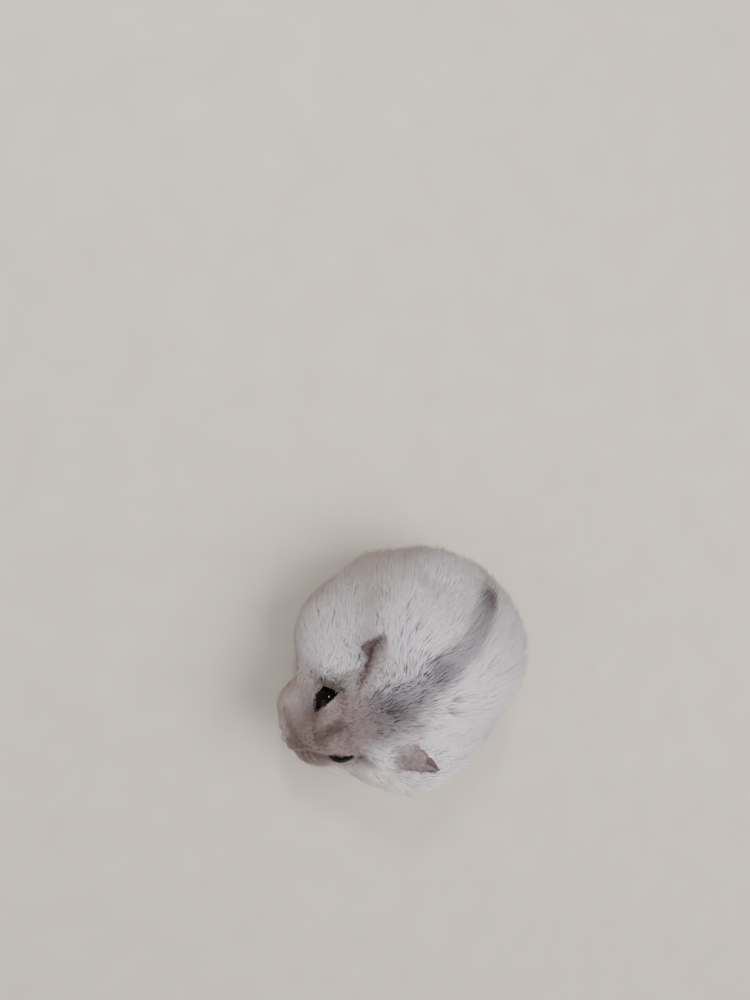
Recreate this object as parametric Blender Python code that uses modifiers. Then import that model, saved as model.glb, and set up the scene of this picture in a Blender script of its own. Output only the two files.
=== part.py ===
"""Dwarf hamster, crouched on all fours with its head turned a little to its right.

Life-size solids drawn out to the tips of the coat. The animal faces +X, its left side is +Y,
the floor is Z = 0 and sizes are in metres. The body is blended from a few rounded masses into
one closed form, then parted by thin cuts into head, neck, trunk and legs.
"""
import bmesh
import bpy
from math import cos, radians, sin
from mathutils import Euler, Matrix, Vector

MM = 0.001

# ---- driving dimensions (millimetres unless named otherwise) ----
PART_GAP = 0.3            # clear gap left between neighbouring parts
BODY_VOXEL = 0.62         # grid that fuses the body masses
BODY_SMOOTHING = 14       # smoothing passes over the fused body
BODY_TRIANGLES = 1800     # triangles kept in the whole body before it is parted

HEAD_ORIGIN = (17.3, -5.2, 18.4)     # point midway between the eyes
HEAD_ROLL = 3.0                      # degrees, left side of the head a little high
HEAD_PITCH = -1.0                    # degrees, nose a little up
HEAD_YAW = -30.5                     # degrees, face turned to the animal's right

EYE_RADIUS = 3.3
EYE_CENTRE = (-0.7, 4.3, 0.2)       # in the head frame, mirrored for the other eye
NOSE_CENTRE = (8.8, 0.0, -1.9)
NOSE_RADII = (1.5, 1.5, 1.25)

EAR_THICKNESS = 0.9
EAR_CUP = 0.34                       # how far the edges roll inward, as a share of the width
EAR_ROLL = (1.8, 1.1)                # how far the upper and lower edges roll over, in radians

FOREFOOT = {"length": 7.0, "width": 4.2, "height": 2.6, "toes": 4}
HINDFOOT = {"length": 11.5, "width": 4.6, "height": 2.8, "toes": 5}
TOE_SHARE = 0.38                     # share of the foot's length taken by the toes
FOOT_VOXEL = 0.24
FOOT_TRIANGLES = 160

# Rounded masses of the body: centre and radii in the world frame.
BODY_MASSES = {
    "chest": ((0.5, 1.0, 14.0), (15.5, 20.5, 12.5)),
    "belly": ((-4.5, -0.5, 16.5), (19.0, 21.5, 14.6)),
    "rump": ((-7.8, -0.5, 18.0), (16.8, 20.0, 16.6)),
    "back": ((-6.0, -1.8, 20.5), (15.0, 17.5, 15.5)),
    "haunch_left": ((-9.2, 10.4, 13.4), (12.1, 11.6, 11.4)),
    "haunch_right": ((-5.2, -11.1, 13.5), (12.0, 11.1, 11.4)),
    "shoulder_left": ((4.3, 13.5, 14.5), (15.2, 10.9, 12.0)),
    "shoulder_right": ((2.3, -13.2, 13.0), (11.5, 10.0, 11.0)),
    "ruff_left": ((13.5, 6.9, 13.2), (9.5, 9.4, 10.4)),
    "nape": ((4.5, -1.0, 19.5), (10.5, 11.0, 10.8)),
    "forearm_left": ((11.5, 8.5, 6.5), (4.6, 4.2, 5.5)),
    "forearm_right": ((9.5, -7.0, 6.5), (4.6, 4.2, 5.5)),
    "thigh_left": ((-7.0, 12.0, 7.0), (8.0, 5.5, 6.0)),
    "thigh_right": ((-4.5, -12.5, 7.0), (8.0, 5.5, 6.0)),
}

# Rounded masses of the head in its own frame: +X to the nose, +Y to the left, +Z up.
HEAD_MASSES = {
    "skull": ((-10.0, 0.0, 1.2), (9.0, 9.5, 8.2)),
    "brow": ((0.3, 0.0, 1.2), (6.5, 4.9, 4.9)),
    "muzzle": ((3.8, 0.0, -1.8), (6.1, 5.0, 4.5)),
    "chin": ((2.4, 0.0, -5.6), (5.6, 4.4, 3.4)),
}
# Masses that come in pairs; the sideways value is mirrored.
HEAD_PAIRS = {
    "cheek": ((-5.8, 5.4, -4.8), (7.8, 6.0, 6.0)),
    "jowl": ((0.6, 5.1, -4.2), (7.4, 4.6, 4.3)),
    "ear_base": ((-8.3, 7.4, 4.0), (4.4, 3.6, 4.0)),
    "eye_ring": ((-0.6, 3.9, 0.3), (4.1, 1.9, 3.3)),
    "lid": ((-1.0, 3.5, 2.1), (3.8, 2.8, 2.2)),
    "whisker_pad": ((4.6, 3.0, -2.6), (3.8, 3.6, 3.6)),
}

# Regions cut from the body as parts of their own: centre and radii of the cutting ellipsoid.
HEAD_REGION = ((4.0, 0.0, 1.0), (17.0, 16.0, 11.0))
NECK_REGION = ((2.0, 0.0, 0.5), (19.5, 20.0, 13.0))
LEG_REGIONS = {
    "foreleg_left": ((10.5, 12.0, 6.5), (8.5, 8.5, 9.0)),
    "foreleg_right": ((8.5, -11.5, 6.5), (8.5, 8.5, 9.0)),
    "hindleg_left": ((-9.0, 14.0, 8.0), (11.5, 9.0, 10.0)),
    "hindleg_right": ((-8.0, -16.0, 8.0), (11.5, 9.0, 10.0)),
}

# Heel position on the floor and the way the toes point, in degrees from +X.
FEET = {
    "forefoot_left": ((10.5, 9.0), 8.0, FOREFOOT),
    "forefoot_right": ((7.0, -7.0), -8.0, FOREFOOT),
    "hindfoot_left": ((-9.5, 12.0), 12.0, HINDFOOT),
    "hindfoot_right": ((-8.5, -12.0), -10.0, HINDFOOT),
}

# Ears: length and width, then where the root sits, where the tip points and which way the
# hollow faces, in the world frame.
EARS = {
    "ear_left": ((9.6, 5.8), (11.9, 4.6, 24.4), (-0.26, 0.80, 0.54), (0.62, 0.62, -0.35)),
    "ear_right": ((9.9, 8.0), (6.6, -11.3, 26.0), (-0.80, -0.42, 0.42), (0.45, -0.78, 0.42)),
}

TAIL_ROOT = (-21.0, -1.0, 7.5)
TAIL_RADII = (3.6, 1.7, 1.7)


def vec(values):
    """Millimetre values as a vector in metres."""
    return Vector(values) * MM


def head_frame():
    """Pose of the head: from its own frame to the world."""
    turn = Euler((radians(HEAD_ROLL), radians(HEAD_PITCH), radians(HEAD_YAW)))
    return Matrix.Translation(vec(HEAD_ORIGIN)) @ turn.to_matrix().to_4x4()


def material(name, colour, roughness):
    """A plain Principled material."""
    result = bpy.data.materials.new(name)
    result.use_nodes = True
    shader = result.node_tree.nodes["Principled BSDF"]
    shader.inputs["Base Color"].default_value = (*colour, 1.0)
    shader.inputs["Roughness"].default_value = roughness
    return result


def put(name, mesh, collection, surface=None):
    """Link a mesh as a named, smooth-shaded object."""
    obj = bpy.data.objects.new(name, mesh)
    collection.objects.link(obj)
    if surface is not None:
        mesh.materials.clear()
        mesh.materials.append(surface)
    for face in mesh.polygons:
        face.use_smooth = True
    return obj


def add_ellipsoid(bm, centre, radii, frame=None, detail=3):
    """Add a closed ellipsoid, sized in millimetres, to a mesh under construction."""
    scale = Matrix.Diagonal((*vec(radii), 1.0))
    place = Matrix.Translation(vec(centre)) @ scale
    if frame is not None:
        place = frame @ place
    bmesh.ops.create_icosphere(bm, subdivisions=detail, radius=1.0, matrix=place)


def ellipsoid(name, centre, radii, collection, frame=None, detail=3, surface=None):
    """One ellipsoid as an object of its own."""
    bm = bmesh.new()
    add_ellipsoid(bm, centre, radii, frame, detail)
    mesh = bpy.data.meshes.new(name)
    bm.to_mesh(mesh)
    bm.free()
    return put(name, mesh, collection, surface)


def grown(radii, by=PART_GAP):
    """Radii enlarged on every side."""
    return tuple(radius + by for radius in radii)


def apply_modifiers(obj):
    """Replace an object's mesh by the result of its modifiers."""
    bpy.context.view_layer.update()
    depsgraph = bpy.context.evaluated_depsgraph_get()
    mesh = bpy.data.meshes.new_from_object(obj.evaluated_get(depsgraph))
    old = obj.data
    obj.modifiers.clear()
    obj.data = mesh
    mesh.name = obj.name
    bpy.data.meshes.remove(old)


def cut(obj, cutter, operation):
    """Boolean an object with a cutter."""
    step = obj.modifiers.new(operation.title(), "BOOLEAN")
    step.operation = operation
    step.solver = "EXACT"
    step.object = cutter
    apply_modifiers(obj)


def discard(obj):
    """Remove a helper object and its mesh."""
    mesh = obj.data
    bpy.data.objects.remove(obj)
    bpy.data.meshes.remove(mesh)


def keep_largest(obj):
    """Drop the crumbs a cut can leave, keeping the piece with the most volume."""
    bm = bmesh.new()
    bm.from_mesh(obj.data)
    waiting = set(bm.verts)
    pieces = []
    while waiting:
        piece = {waiting.pop()}
        edge = list(piece)
        while edge:
            vert = edge.pop()
            for link in vert.link_edges:
                other = link.other_vert(vert)
                if other in waiting:
                    waiting.discard(other)
                    piece.add(other)
                    edge.append(other)
        pieces.append(piece)
    pieces.sort(key=len)
    for piece in pieces[:-1]:
        bmesh.ops.delete(bm, geom=list(piece), context="VERTS")
    bm.to_mesh(obj.data)
    bm.free()


def blend(name, bm, voxel, smoothing, triangles, collection, surface):
    """Fuse overlapping closed masses into one smooth closed form."""
    mesh = bpy.data.meshes.new(name)
    bm.to_mesh(mesh)
    bm.free()
    obj = put(name, mesh, collection, surface)
    remesh = obj.modifiers.new("Fuse", "REMESH")
    remesh.mode = "VOXEL"
    remesh.voxel_size = voxel * MM
    remesh.use_smooth_shade = True
    smooth = obj.modifiers.new("Soften", "SMOOTH")
    smooth.factor = 0.5
    smooth.iterations = smoothing
    apply_modifiers(obj)
    faces = 2 * len(obj.data.polygons)
    reduce = obj.modifiers.new("Reduce", "DECIMATE")
    reduce.decimate_type = "COLLAPSE"
    reduce.ratio = min(1.0, triangles / faces)
    apply_modifiers(obj)
    for face in obj.data.polygons:
        face.use_smooth = True
    return obj


def build_body(name, collection, surface=None, grow=0.0):
    """The whole body as one form, from nose to rump and down to wrists and heels."""
    bm = bmesh.new()
    frame = head_frame()
    for centre, radii in BODY_MASSES.values():
        add_ellipsoid(bm, centre, grown(radii, grow))
    for centre, radii in HEAD_MASSES.values():
        add_ellipsoid(bm, centre, grown(radii, grow), frame)
    for (along, across, up), radii in HEAD_PAIRS.values():
        for side in (1, -1):
            add_ellipsoid(bm, (along, side * across, up), grown(radii, grow), frame)
    return blend(name, bm, BODY_VOXEL, BODY_SMOOTHING, BODY_TRIANGLES, collection, surface)


def part_off(body, name, region, frame, helpers, collection, surface):
    """Give the part of the body inside an ellipsoid a node of its own, a thin gap away."""
    centre, radii = region
    piece = put(name, body.data.copy(), collection, surface)
    inside = ellipsoid(name + "_inside", centre, radii, helpers, frame)
    around = ellipsoid(name + "_around", centre, grown(radii), helpers, frame)
    cut(piece, inside, "INTERSECT")
    cut(body, around, "DIFFERENCE")
    keep_largest(piece)
    keep_largest(body)
    discard(inside)
    discard(around)
    return piece


def foot_frame(name):
    """Place of a foot: heel at its own origin, toes along its own +X."""
    (x, y), heading, _ = FEET[name]
    return Matrix.Translation(vec((x, y, 0.0))) @ Matrix.Rotation(radians(heading), 4, "Z")


def foot_masses(size, grow=0.0):
    """Sole, instep and spread toes of a foot as ellipsoids in the foot's frame."""
    length, width, height = size["length"], size["width"], size["height"]
    toe_length = TOE_SHARE * length
    palm = length - toe_length
    masses = [
        ((0.24 * palm, 0.0, 0.42 * height), (0.34 * palm, 0.40 * width, 0.62 * height)),
        ((0.66 * palm, 0.0, 0.38 * height), (0.46 * palm, 0.50 * width, 0.60 * height)),
    ]
    count = size["toes"]
    for index in range(count):
        share = index / (count - 1) - 0.5
        angle = share * 0.9
        reach = 0.5 * toe_length * (1.0 - 0.35 * abs(share))
        x = palm - 0.12 * toe_length + reach * cos(angle)
        y = 0.86 * width * share + reach * sin(angle) * 0.5
        masses.append(((x, y, 0.28 * height), (1.05 * reach + 0.3, 0.56, 0.40 * height)))
    return [(centre, grown(radii, grow)) for centre, radii in masses]


def build_foot(name, collection, surface=None, grow=0.0):
    """A small paw; its masses reach a little below the floor until the sole is cut flat."""
    bm = bmesh.new()
    for centre, radii in foot_masses(FEET[name][2], grow):
        add_ellipsoid(bm, centre, radii, foot_frame(name), detail=2)
    return blend(name, bm, FOOT_VOXEL, 2, FOOT_TRIANGLES, collection, surface)


def flatten_sole(foot, helpers):
    """Cut everything below the floor off a foot."""
    bm = bmesh.new()
    depth = 20 * MM
    bmesh.ops.create_cube(bm, size=1.0, matrix=Matrix.Diagonal((0.2, 0.2, depth, 1.0)))
    bmesh.ops.translate(bm, verts=bm.verts, vec=(0, 0, -0.5 * depth))
    mesh = bpy.data.meshes.new("below_floor")
    bm.to_mesh(mesh)
    bm.free()
    block = put("below_floor", mesh, helpers)
    cut(foot, block, "DIFFERENCE")
    discard(block)


def ear_half_width(along):
    """Half width of the ear as a share of its full width: waisted root, rounded tip."""
    root = 0.30 + 0.70 * min(1.0, along / 0.45) ** 0.8
    tip = max(0.0, 1.0 - ((along - 0.40) / 0.62) ** 2) if along > 0.40 else 1.0
    return 0.5 * root * max(0.30, tip ** 0.5)


def build_ear(name, collection, surface):
    """A thin cupped ear leaf, rolled inward along both edges."""
    length, width = EARS[name][0]
    root, tip_way, hollow_way = (Vector(item) for item in EARS[name][1:])
    along = tip_way.normalized()
    facing = (hollow_way - hollow_way.dot(along) * along).normalized()
    across = facing.cross(along)
    if across.z < 0.0:
        across = -across
    rows, columns = 9, 7
    bm = bmesh.new()
    grid = []
    for row in range(rows):
        share = row / (rows - 1)
        half = ear_half_width(share) * width
        line = []
        for column in range(columns):
            side = 2.0 * column / (columns - 1) - 1.0
            roll = side * EAR_ROLL[0 if side > 0.0 else 1]
            y = half * sin(roll)
            z = EAR_CUP * width * (1.0 - cos(roll)) * (1.1 - 0.5 * share)
            x = share * length - 0.5 * side * side * share
            line.append(bm.verts.new((root + x * along + y * across + z * facing) * MM))
        grid.append(line)
    for row in range(rows - 1):
        for column in range(columns - 1):
            bm.faces.new((grid[row][column], grid[row + 1][column],
                          grid[row + 1][column + 1], grid[row][column + 1]))
    bmesh.ops.recalc_face_normals(bm, faces=bm.faces)
    mesh = bpy.data.meshes.new(name)
    bm.to_mesh(mesh)
    bm.free()
    ear = put(name, mesh, collection, surface)
    wall = ear.modifiers.new("Wall", "SOLIDIFY")
    wall.thickness = EAR_THICKNESS * MM
    wall.offset = 0.0
    wall.use_even_offset = True
    apply_modifiers(ear)
    return ear


def centre_over_origin(objects):
    """Slide everything along the floor so the middle of the whole stands over the origin."""
    points = [vert.co for obj in objects for vert in obj.data.vertices]
    middle = [0.5 * (min(p[axis] for p in points) + max(p[axis] for p in points))
              for axis in (0, 1)]
    slide = Matrix.Translation((-middle[0], -middle[1], 0.0))
    for obj in objects:
        obj.data.transform(slide)


def main():
    for obj in list(bpy.data.objects):
        bpy.data.objects.remove(obj)
    animal = bpy.data.collections.new("dwarf_hamster")
    helpers = bpy.data.collections.new("helpers")
    for collection in (animal, helpers):
        bpy.context.scene.collection.children.link(collection)

    coat = material("coat", (0.52, 0.48, 0.49), 0.85)
    ear_skin = material("ear_skin", (0.22, 0.15, 0.14), 0.7)
    eye = material("eye", (0.006, 0.005, 0.005), 0.08)
    nose_skin = material("nose_skin", (0.45, 0.22, 0.19), 0.5)
    paw_skin = material("paw_skin", (0.50, 0.36, 0.33), 0.7)

    frame = head_frame()
    body = build_body("trunk", animal, coat)
    around = build_body("body_around", helpers, grow=PART_GAP)
    tail = ellipsoid("tail", TAIL_ROOT, TAIL_RADII, animal, detail=2, surface=coat)
    for small in (build_ear("ear_left", animal, ear_skin),
                  build_ear("ear_right", animal, ear_skin), tail):
        cut(small, around, "DIFFERENCE")
        keep_largest(small)
    discard(around)

    ball = (EYE_RADIUS,) * 3
    along, across, up = EYE_CENTRE
    inset = {
        "eye_left": ((along, across, up), ball, 3, eye),
        "eye_right": ((along, -across, up), ball, 3, eye),
        "nose": (NOSE_CENTRE, NOSE_RADII, 2, nose_skin),
    }
    for name, (centre, radii, detail, surface) in inset.items():
        ellipsoid(name, centre, radii, animal, frame, detail, surface)
        socket = ellipsoid(name + "_socket", centre, grown(radii), helpers, frame, detail)
        cut(body, socket, "DIFFERENCE")
        discard(socket)

    for name in FEET:
        flatten_sole(build_foot(name, animal, paw_skin), helpers)
        room = build_foot(name, helpers, grow=PART_GAP)
        cut(body, room, "DIFFERENCE")
        discard(room)
    keep_largest(body)

    part_off(body, "head", HEAD_REGION, frame, helpers, animal, coat)
    part_off(body, "neck", NECK_REGION, frame, helpers, animal, coat)
    for name, region in LEG_REGIONS.items():
        part_off(body, name, region, None, helpers, animal, coat)

    bpy.data.collections.remove(helpers)
    centre_over_origin(animal.objects)
    for obj in animal.objects:
        for face in obj.data.polygons:
            face.use_smooth = True


main()
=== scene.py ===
# %% [markdown]
# # A dwarf hamster in full coat
# The frame holds plain closed solids that give this animal's outline out to the tips of its hair.
# This lesson dresses them: one skin under the coat, eyes with lids, a nose, claws, whiskers, and
# nearly sixteen thousand tufts that follow the lie of the hair. Lengths are in millimetres all
# through, and turn into metres only when a mesh is made.

import bpy
import numpy as np
from math import cos, pi, radians, sin
from mathutils import Matrix, Vector
from mathutils.bvhtree import BVHTree


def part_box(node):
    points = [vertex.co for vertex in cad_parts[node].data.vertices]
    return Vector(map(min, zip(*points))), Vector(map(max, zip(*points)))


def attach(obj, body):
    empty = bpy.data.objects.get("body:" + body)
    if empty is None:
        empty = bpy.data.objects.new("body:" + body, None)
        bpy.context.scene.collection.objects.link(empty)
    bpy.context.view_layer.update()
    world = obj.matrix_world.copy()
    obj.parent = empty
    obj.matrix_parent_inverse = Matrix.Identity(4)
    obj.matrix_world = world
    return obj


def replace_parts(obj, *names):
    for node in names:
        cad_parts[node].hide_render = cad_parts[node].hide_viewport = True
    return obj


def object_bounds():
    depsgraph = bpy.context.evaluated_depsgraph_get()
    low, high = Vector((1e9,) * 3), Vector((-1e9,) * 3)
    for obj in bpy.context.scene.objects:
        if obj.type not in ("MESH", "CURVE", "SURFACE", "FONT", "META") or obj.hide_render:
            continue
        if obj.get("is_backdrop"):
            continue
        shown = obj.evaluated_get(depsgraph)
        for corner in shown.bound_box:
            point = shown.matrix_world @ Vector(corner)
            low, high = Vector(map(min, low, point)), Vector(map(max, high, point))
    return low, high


MM = 0.001
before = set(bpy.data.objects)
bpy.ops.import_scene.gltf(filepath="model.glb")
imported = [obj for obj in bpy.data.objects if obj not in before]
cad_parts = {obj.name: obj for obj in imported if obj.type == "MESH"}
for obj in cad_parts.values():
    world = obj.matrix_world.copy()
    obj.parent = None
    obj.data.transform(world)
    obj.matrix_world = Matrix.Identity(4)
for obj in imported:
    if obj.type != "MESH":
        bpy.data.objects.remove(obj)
cad_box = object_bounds()
cad_size = [round(side / MM, 1) for side in cad_box[1] - cad_box[0]]
print("solids:", len(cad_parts), "box in mm:", cad_size)

# %% [markdown]
# ## Small tools for arrays
# Hair comes in such numbers that no loop over objects can make it. Positions are kept in numpy
# arrays, one row to a point, and a few helpers turn arrays into meshes and back.

# %% Array and mesh helpers


def unit(vectors):
    """Vectors of length one."""
    return vectors / np.maximum(np.linalg.norm(vectors, axis=-1, keepdims=True), 1e-9)


def ease(low, high, values):
    """Rises smoothly from 0 at low to 1 at high."""
    share = np.clip((values - low) / (high - low), 0.0, 1.0)
    return share * share * (3.0 - 2.0 * share)


def mix(first, second, share):
    """Part way from the first rows to the second."""
    share = np.asarray(share)[..., None]
    return first * (1.0 - share) + second * share


def blob(points, centre, radii, softness=0.5):
    """1 inside an ellipsoid and 0 outside, with a soft edge."""
    away = np.linalg.norm((points - np.array(centre)) / np.array(radii), axis=1)
    return 1.0 - ease(1.0 - softness, 1.0 + softness, away)


def make_mesh(name, points, triangles):
    """A smooth-shaded mesh object from rows of points in millimetres and rows of three indices."""
    mesh = bpy.data.meshes.new(name)
    mesh.vertices.add(len(points))
    mesh.vertices.foreach_set("co", (points * MM).astype(np.float32).ravel())
    mesh.loops.add(triangles.size)
    mesh.loops.foreach_set("vertex_index", triangles.astype(np.int32).ravel())
    mesh.polygons.add(len(triangles))
    mesh.polygons.foreach_set("loop_start", np.arange(0, triangles.size, 3, dtype=np.int32))
    mesh.polygons.foreach_set("use_smooth", np.ones(len(triangles), dtype=bool))
    mesh.update(calc_edges=True)
    made = bpy.data.objects.new(name, mesh)
    bpy.context.scene.collection.objects.link(made)
    return made


def arrays_of(mesh):
    """Points in millimetres and triangles of a mesh."""
    mesh.calc_loop_triangles()
    points = np.empty(len(mesh.vertices) * 3)
    mesh.vertices.foreach_get("co", points)
    triangles = np.empty(len(mesh.loop_triangles) * 3, dtype=np.int32)
    mesh.loop_triangles.foreach_get("vertices", triangles)
    return points.reshape(-1, 3) / MM, triangles.reshape(-1, 3)


def normals_of(points, triangles):
    """Unit normals at the points, each the mean of the faces round it."""
    first, second, third = (points[triangles[:, corner]] for corner in range(3))
    face = np.cross(second - first, third - first)
    total = np.empty_like(points)
    for axis in range(3):
        weights = np.repeat(face[:, axis], 3)
        total[:, axis] = np.bincount(triangles.ravel(), weights, len(points))
    return unit(total)


def welded(points, triangles):
    """The same surface with points in one place joined."""
    _, first, place = np.unique(np.round(points, 4), axis=0, return_index=True, return_inverse=True)
    triangles = place.reshape(-1)[triangles]
    whole = (triangles[:, 0] != triangles[:, 1]) & (triangles[:, 1] != triangles[:, 2])
    whole &= triangles[:, 0] != triangles[:, 2]
    return points[first], triangles[whole]


def joined(parts):
    """Several (points, triangles) pairs as one."""
    start, all_points, all_triangles = 0, [], []
    for points, triangles in parts:
        all_points.append(points)
        all_triangles.append(triangles + start)
        start += len(points)
    return np.concatenate(all_points), np.concatenate(all_triangles)


def discard(helper):
    """Remove an object that was only a step on the way, with its mesh."""
    mesh = helper.data
    bpy.data.objects.remove(helper)
    bpy.data.meshes.remove(mesh)


def with_modifiers(part, *settings):
    """Put (points, triangles) through modifiers, each a type and its values."""
    helper = make_mesh("helper", *part)
    for kind, values in settings:
        modifier = helper.modifiers.new(kind.title(), kind)
        for key, value in values.items():
            setattr(modifier, key, value)
    bpy.context.view_layer.update()
    shaped = helper.evaluated_get(bpy.context.evaluated_depsgraph_get())
    result = arrays_of(shaped.to_mesh())
    shaped.to_mesh_clear()
    discard(helper)
    return result


def fused(parts, voxel, passes):
    """Overlapping closed forms turned into one surface on a grid, then softened."""
    remesh = ("REMESH", {"mode": "VOXEL", "voxel_size": voxel * MM})
    soften = ("SMOOTH", {"factor": 0.5, "iterations": passes})
    return with_modifiers(joined(parts), remesh, soften)


def tree_of(part):
    """A search tree over a surface, in millimetres."""
    points, triangles = part
    return BVHTree.FromPolygons(points.tolist(), triangles.tolist())


def heights_over(tree, points):
    """How far each point stands outside the tree's surface; negative inside."""
    result = np.empty(len(points))
    for index, point in enumerate(points.tolist()):
        place, normal, _, distance = tree.find_nearest(point)
        outward = (Vector(point) - place).dot(normal)
        result[index] = distance if outward > 0.0 else -distance
    return result


def node_part(name):
    """A solid of the frame as welded (points, triangles)."""
    return welded(*arrays_of(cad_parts[name].data))


# %% [markdown]
# ## Where the head looks
# The head is turned to the animal's right, so everything on the face is placed in the head's own
# frame. Its axes come from the three solids that fix a face: two eyes and a nose.

# %% The head's own frame


def middle_of(node):
    """Centre of a solid's box."""
    low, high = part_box(node)
    return np.array((low + high) * 0.5) / MM


NOSE_DROP = radians(12.5)    # the nose sits this far below the level through the eyes
eye_places = {side: middle_of("eye_" + side) for side in ("left", "right")}
nose_place = middle_of("nose")
between_eyes = 0.5 * (eye_places["left"] + eye_places["right"])
head_left = unit(eye_places["left"] - eye_places["right"])
toward_nose = nose_place - between_eyes
toward_nose = unit(toward_nose - toward_nose.dot(head_left) * head_left)
over_nose = np.cross(toward_nose, head_left)
head_front = cos(NOSE_DROP) * toward_nose + sin(NOSE_DROP) * over_nose
head_up = cos(NOSE_DROP) * over_nose - sin(NOSE_DROP) * toward_nose
HEAD = np.stack([head_front, head_left, head_up])
EYE_RADIUS = float((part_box("eye_left")[1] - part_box("eye_left")[0]).x) * 0.5 / MM


def in_head(points):
    """Points in the head's frame: forward, left, up from midway between the eyes."""
    return (points - between_eyes) @ HEAD.T


def from_head(places):
    """Places in the head's frame as points of the world."""
    return np.asarray(places) @ HEAD + between_eyes


print("head looks along", head_front.round(2), "eye radius", round(EYE_RADIUS, 2))

# %% [markdown]
# ## The coat's outer surface
# Each solid of flesh is swollen a little so that its neighbours meet, and all are fused on a fine
# grid. The result is the surface that the tips of the hair should reach. Nothing shows it: it is
# the measure that every tuft is trimmed to.

# %% Fuse the solids into the coat's outline
SEAM_SWELL = 0.2      # closes the thin cuts between neighbouring solids
OUTLINE_GRID, OUTLINE_SOFTENING = 0.5, 6
EYE_CLEARANCE = (0.3, 2.8)      # how near an eyeball the fullness below fades out
APPENDAGES = ("ear_left", "ear_right", "forefoot_left", "forefoot_right",
              "hindfoot_left", "hindfoot_right", "tail")
body_nodes = [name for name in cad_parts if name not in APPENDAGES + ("nose",)]


def swollen(part, by):
    """A closed form moved out along its normals."""
    points, triangles = part
    return points + by * normals_of(points, triangles), triangles


# Where the coat is fuller or flatter than the solids: middle and radii in the head's frame, and how far.
COAT_FULLNESS = (
    ((7.0, -5.0, -2.5), (4.0, 2.8, 3.2), 0.7),         # right whisker pad
    ((6.0, 4.8, -0.5), (4.5, 2.8, 3.2), -1.3),         # left side of the muzzle
    ((5.6, 6.0, -2.4), (3.2, 2.4, 2.8), -0.7),         # and its lower edge
    ((-10.3, 17.7, -1.4), (6.0, 5.0, 5.0), 1.4),       # ruff below the left ear
    ((-3.0, -11.0, 3.0), (3.6, 2.6, 4.2), 1.2),        # crease between right cheek and shoulder
)
points, triangles = fused([swollen(node_part(name), SEAM_SWELL) for name in body_nodes],
                          OUTLINE_GRID, OUTLINE_SOFTENING)
outward = normals_of(points, triangles)
from_eye = np.min([np.linalg.norm(points - eye, axis=1) for eye in eye_places.values()], axis=0)
clear_of_eyes = ease(*EYE_CLEARANCE, from_eye - EYE_RADIUS)
for middle, radii, fullness in COAT_FULLNESS:
    more = fullness * clear_of_eyes * blob(in_head(points), middle, radii, 0.7)
    points = points + more[:, None] * outward
outline = points, triangles
outline_tree = tree_of(outline)
print("outline of the coat:", len(outline[1]), "triangles")

# %% [markdown]
# ## Skin under the coat
# Real skin lies deeper where the hair is longer: 2.5 mm on the back, hardly anything on the
# muzzle and wrists. The outline is moved inward by that depth, then fused again with the paws and
# tail, so that no seam shows anywhere. The ears are added to the same skin further on.

# %% How deep the coat is
DEPTH_AWAY_FROM_NOSE = (4.0, 9.0, 15.0, 23.0, 32.0)
DEPTH_THERE = (0.35, 0.55, 0.95, 1.9, 2.5)
DEPTH_AT_FLOOR = 0.35           # share of the depth that is left near the floor


def coat_depth(points):
    """Depth of the coat at points of its outline."""
    away = np.linalg.norm(points - nose_place, axis=1)
    depth = np.interp(away, DEPTH_AWAY_FROM_NOSE, DEPTH_THERE)
    return depth * (DEPTH_AT_FLOOR + (1.0 - DEPTH_AT_FLOOR) * ease(1.0, 11.0, points[:, 2]))


# %% Sink the outline and fuse it with paws and tail


def ball(centre, radii, rings=10):
    """A closed ellipsoid as (points, triangles)."""
    count = 2 * rings
    polar = np.linspace(0.0, pi, rings + 1)[1:-1]
    around = np.arange(count) * 2.0 * pi / count
    grid = np.stack([np.outer(np.sin(polar), np.cos(around)), np.outer(np.sin(polar), np.sin(around)),
                     np.outer(np.cos(polar), np.ones(count))], axis=-1).reshape(-1, 3)
    points = np.concatenate([grid, [[0.0, 0.0, 1.0], [0.0, 0.0, -1.0]]])
    triangles = []
    for ring in range(rings - 2):
        for step in range(count):
            here, beside = ring * count + step, ring * count + (step + 1) % count
            triangles += [(here, here + count, beside), (beside, here + count, beside + count)]
    top, bottom, last = len(grid), len(grid) + 1, (rings - 2) * count
    for step in range(count):
        triangles += [(top, step, (step + 1) % count)]
        triangles += [(bottom, last + (step + 1) % count, last + step)]
    return points * np.asarray(radii) + np.asarray(centre), np.array(triangles)


def corners_of(node):
    """Low and high corner of a solid's box in millimetres."""
    return tuple(np.array(corner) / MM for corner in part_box(node))


HEEL_SHARE, ANKLE_HEIGHT, ANKLE_RADII = 0.28, 2.6, (1.9, 1.6, 2.2)
CORE_GRID, CORE_SOFTENING = 0.4, 4
SKIN_GRID, SKIN_SOFTENING = 0.27, 3
sunk = swollen(outline, -coat_depth(outline[0])[:, None])
ankles = []
for name in APPENDAGES:
    if "foot" in name:
        low, high = corners_of(name)
        heel = (low[0] + HEEL_SHARE * (high[0] - low[0]), 0.5 * (low[1] + high[1]), ANKLE_HEIGHT)
        ankles.append(ball(heel, ANKLE_RADII))
core = fused([sunk] + ankles, CORE_GRID, CORE_SOFTENING)
core_tree = tree_of(core)
rounding = ("SUBSURF", {"levels": 1, "render_levels": 1})
ends = [with_modifiers(node_part(name), rounding) for name in APPENDAGES if "ear" not in name]
skin_points, skin_triangles = fused([core] + ends, SKIN_GRID, SKIN_SOFTENING)
print("skin of body, paws and tail:", len(skin_points), "points")

# %% [markdown]
# ## Lids
# A hamster's eye bulges from an almond slit between two thin dark lids. Each point of the skin
# near an eye is looked at from the middle of the eyeball: inside the almond it drops behind the
# ball, and outside it is lifted just clear of the ball, which leaves a thin rim that follows it.

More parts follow.
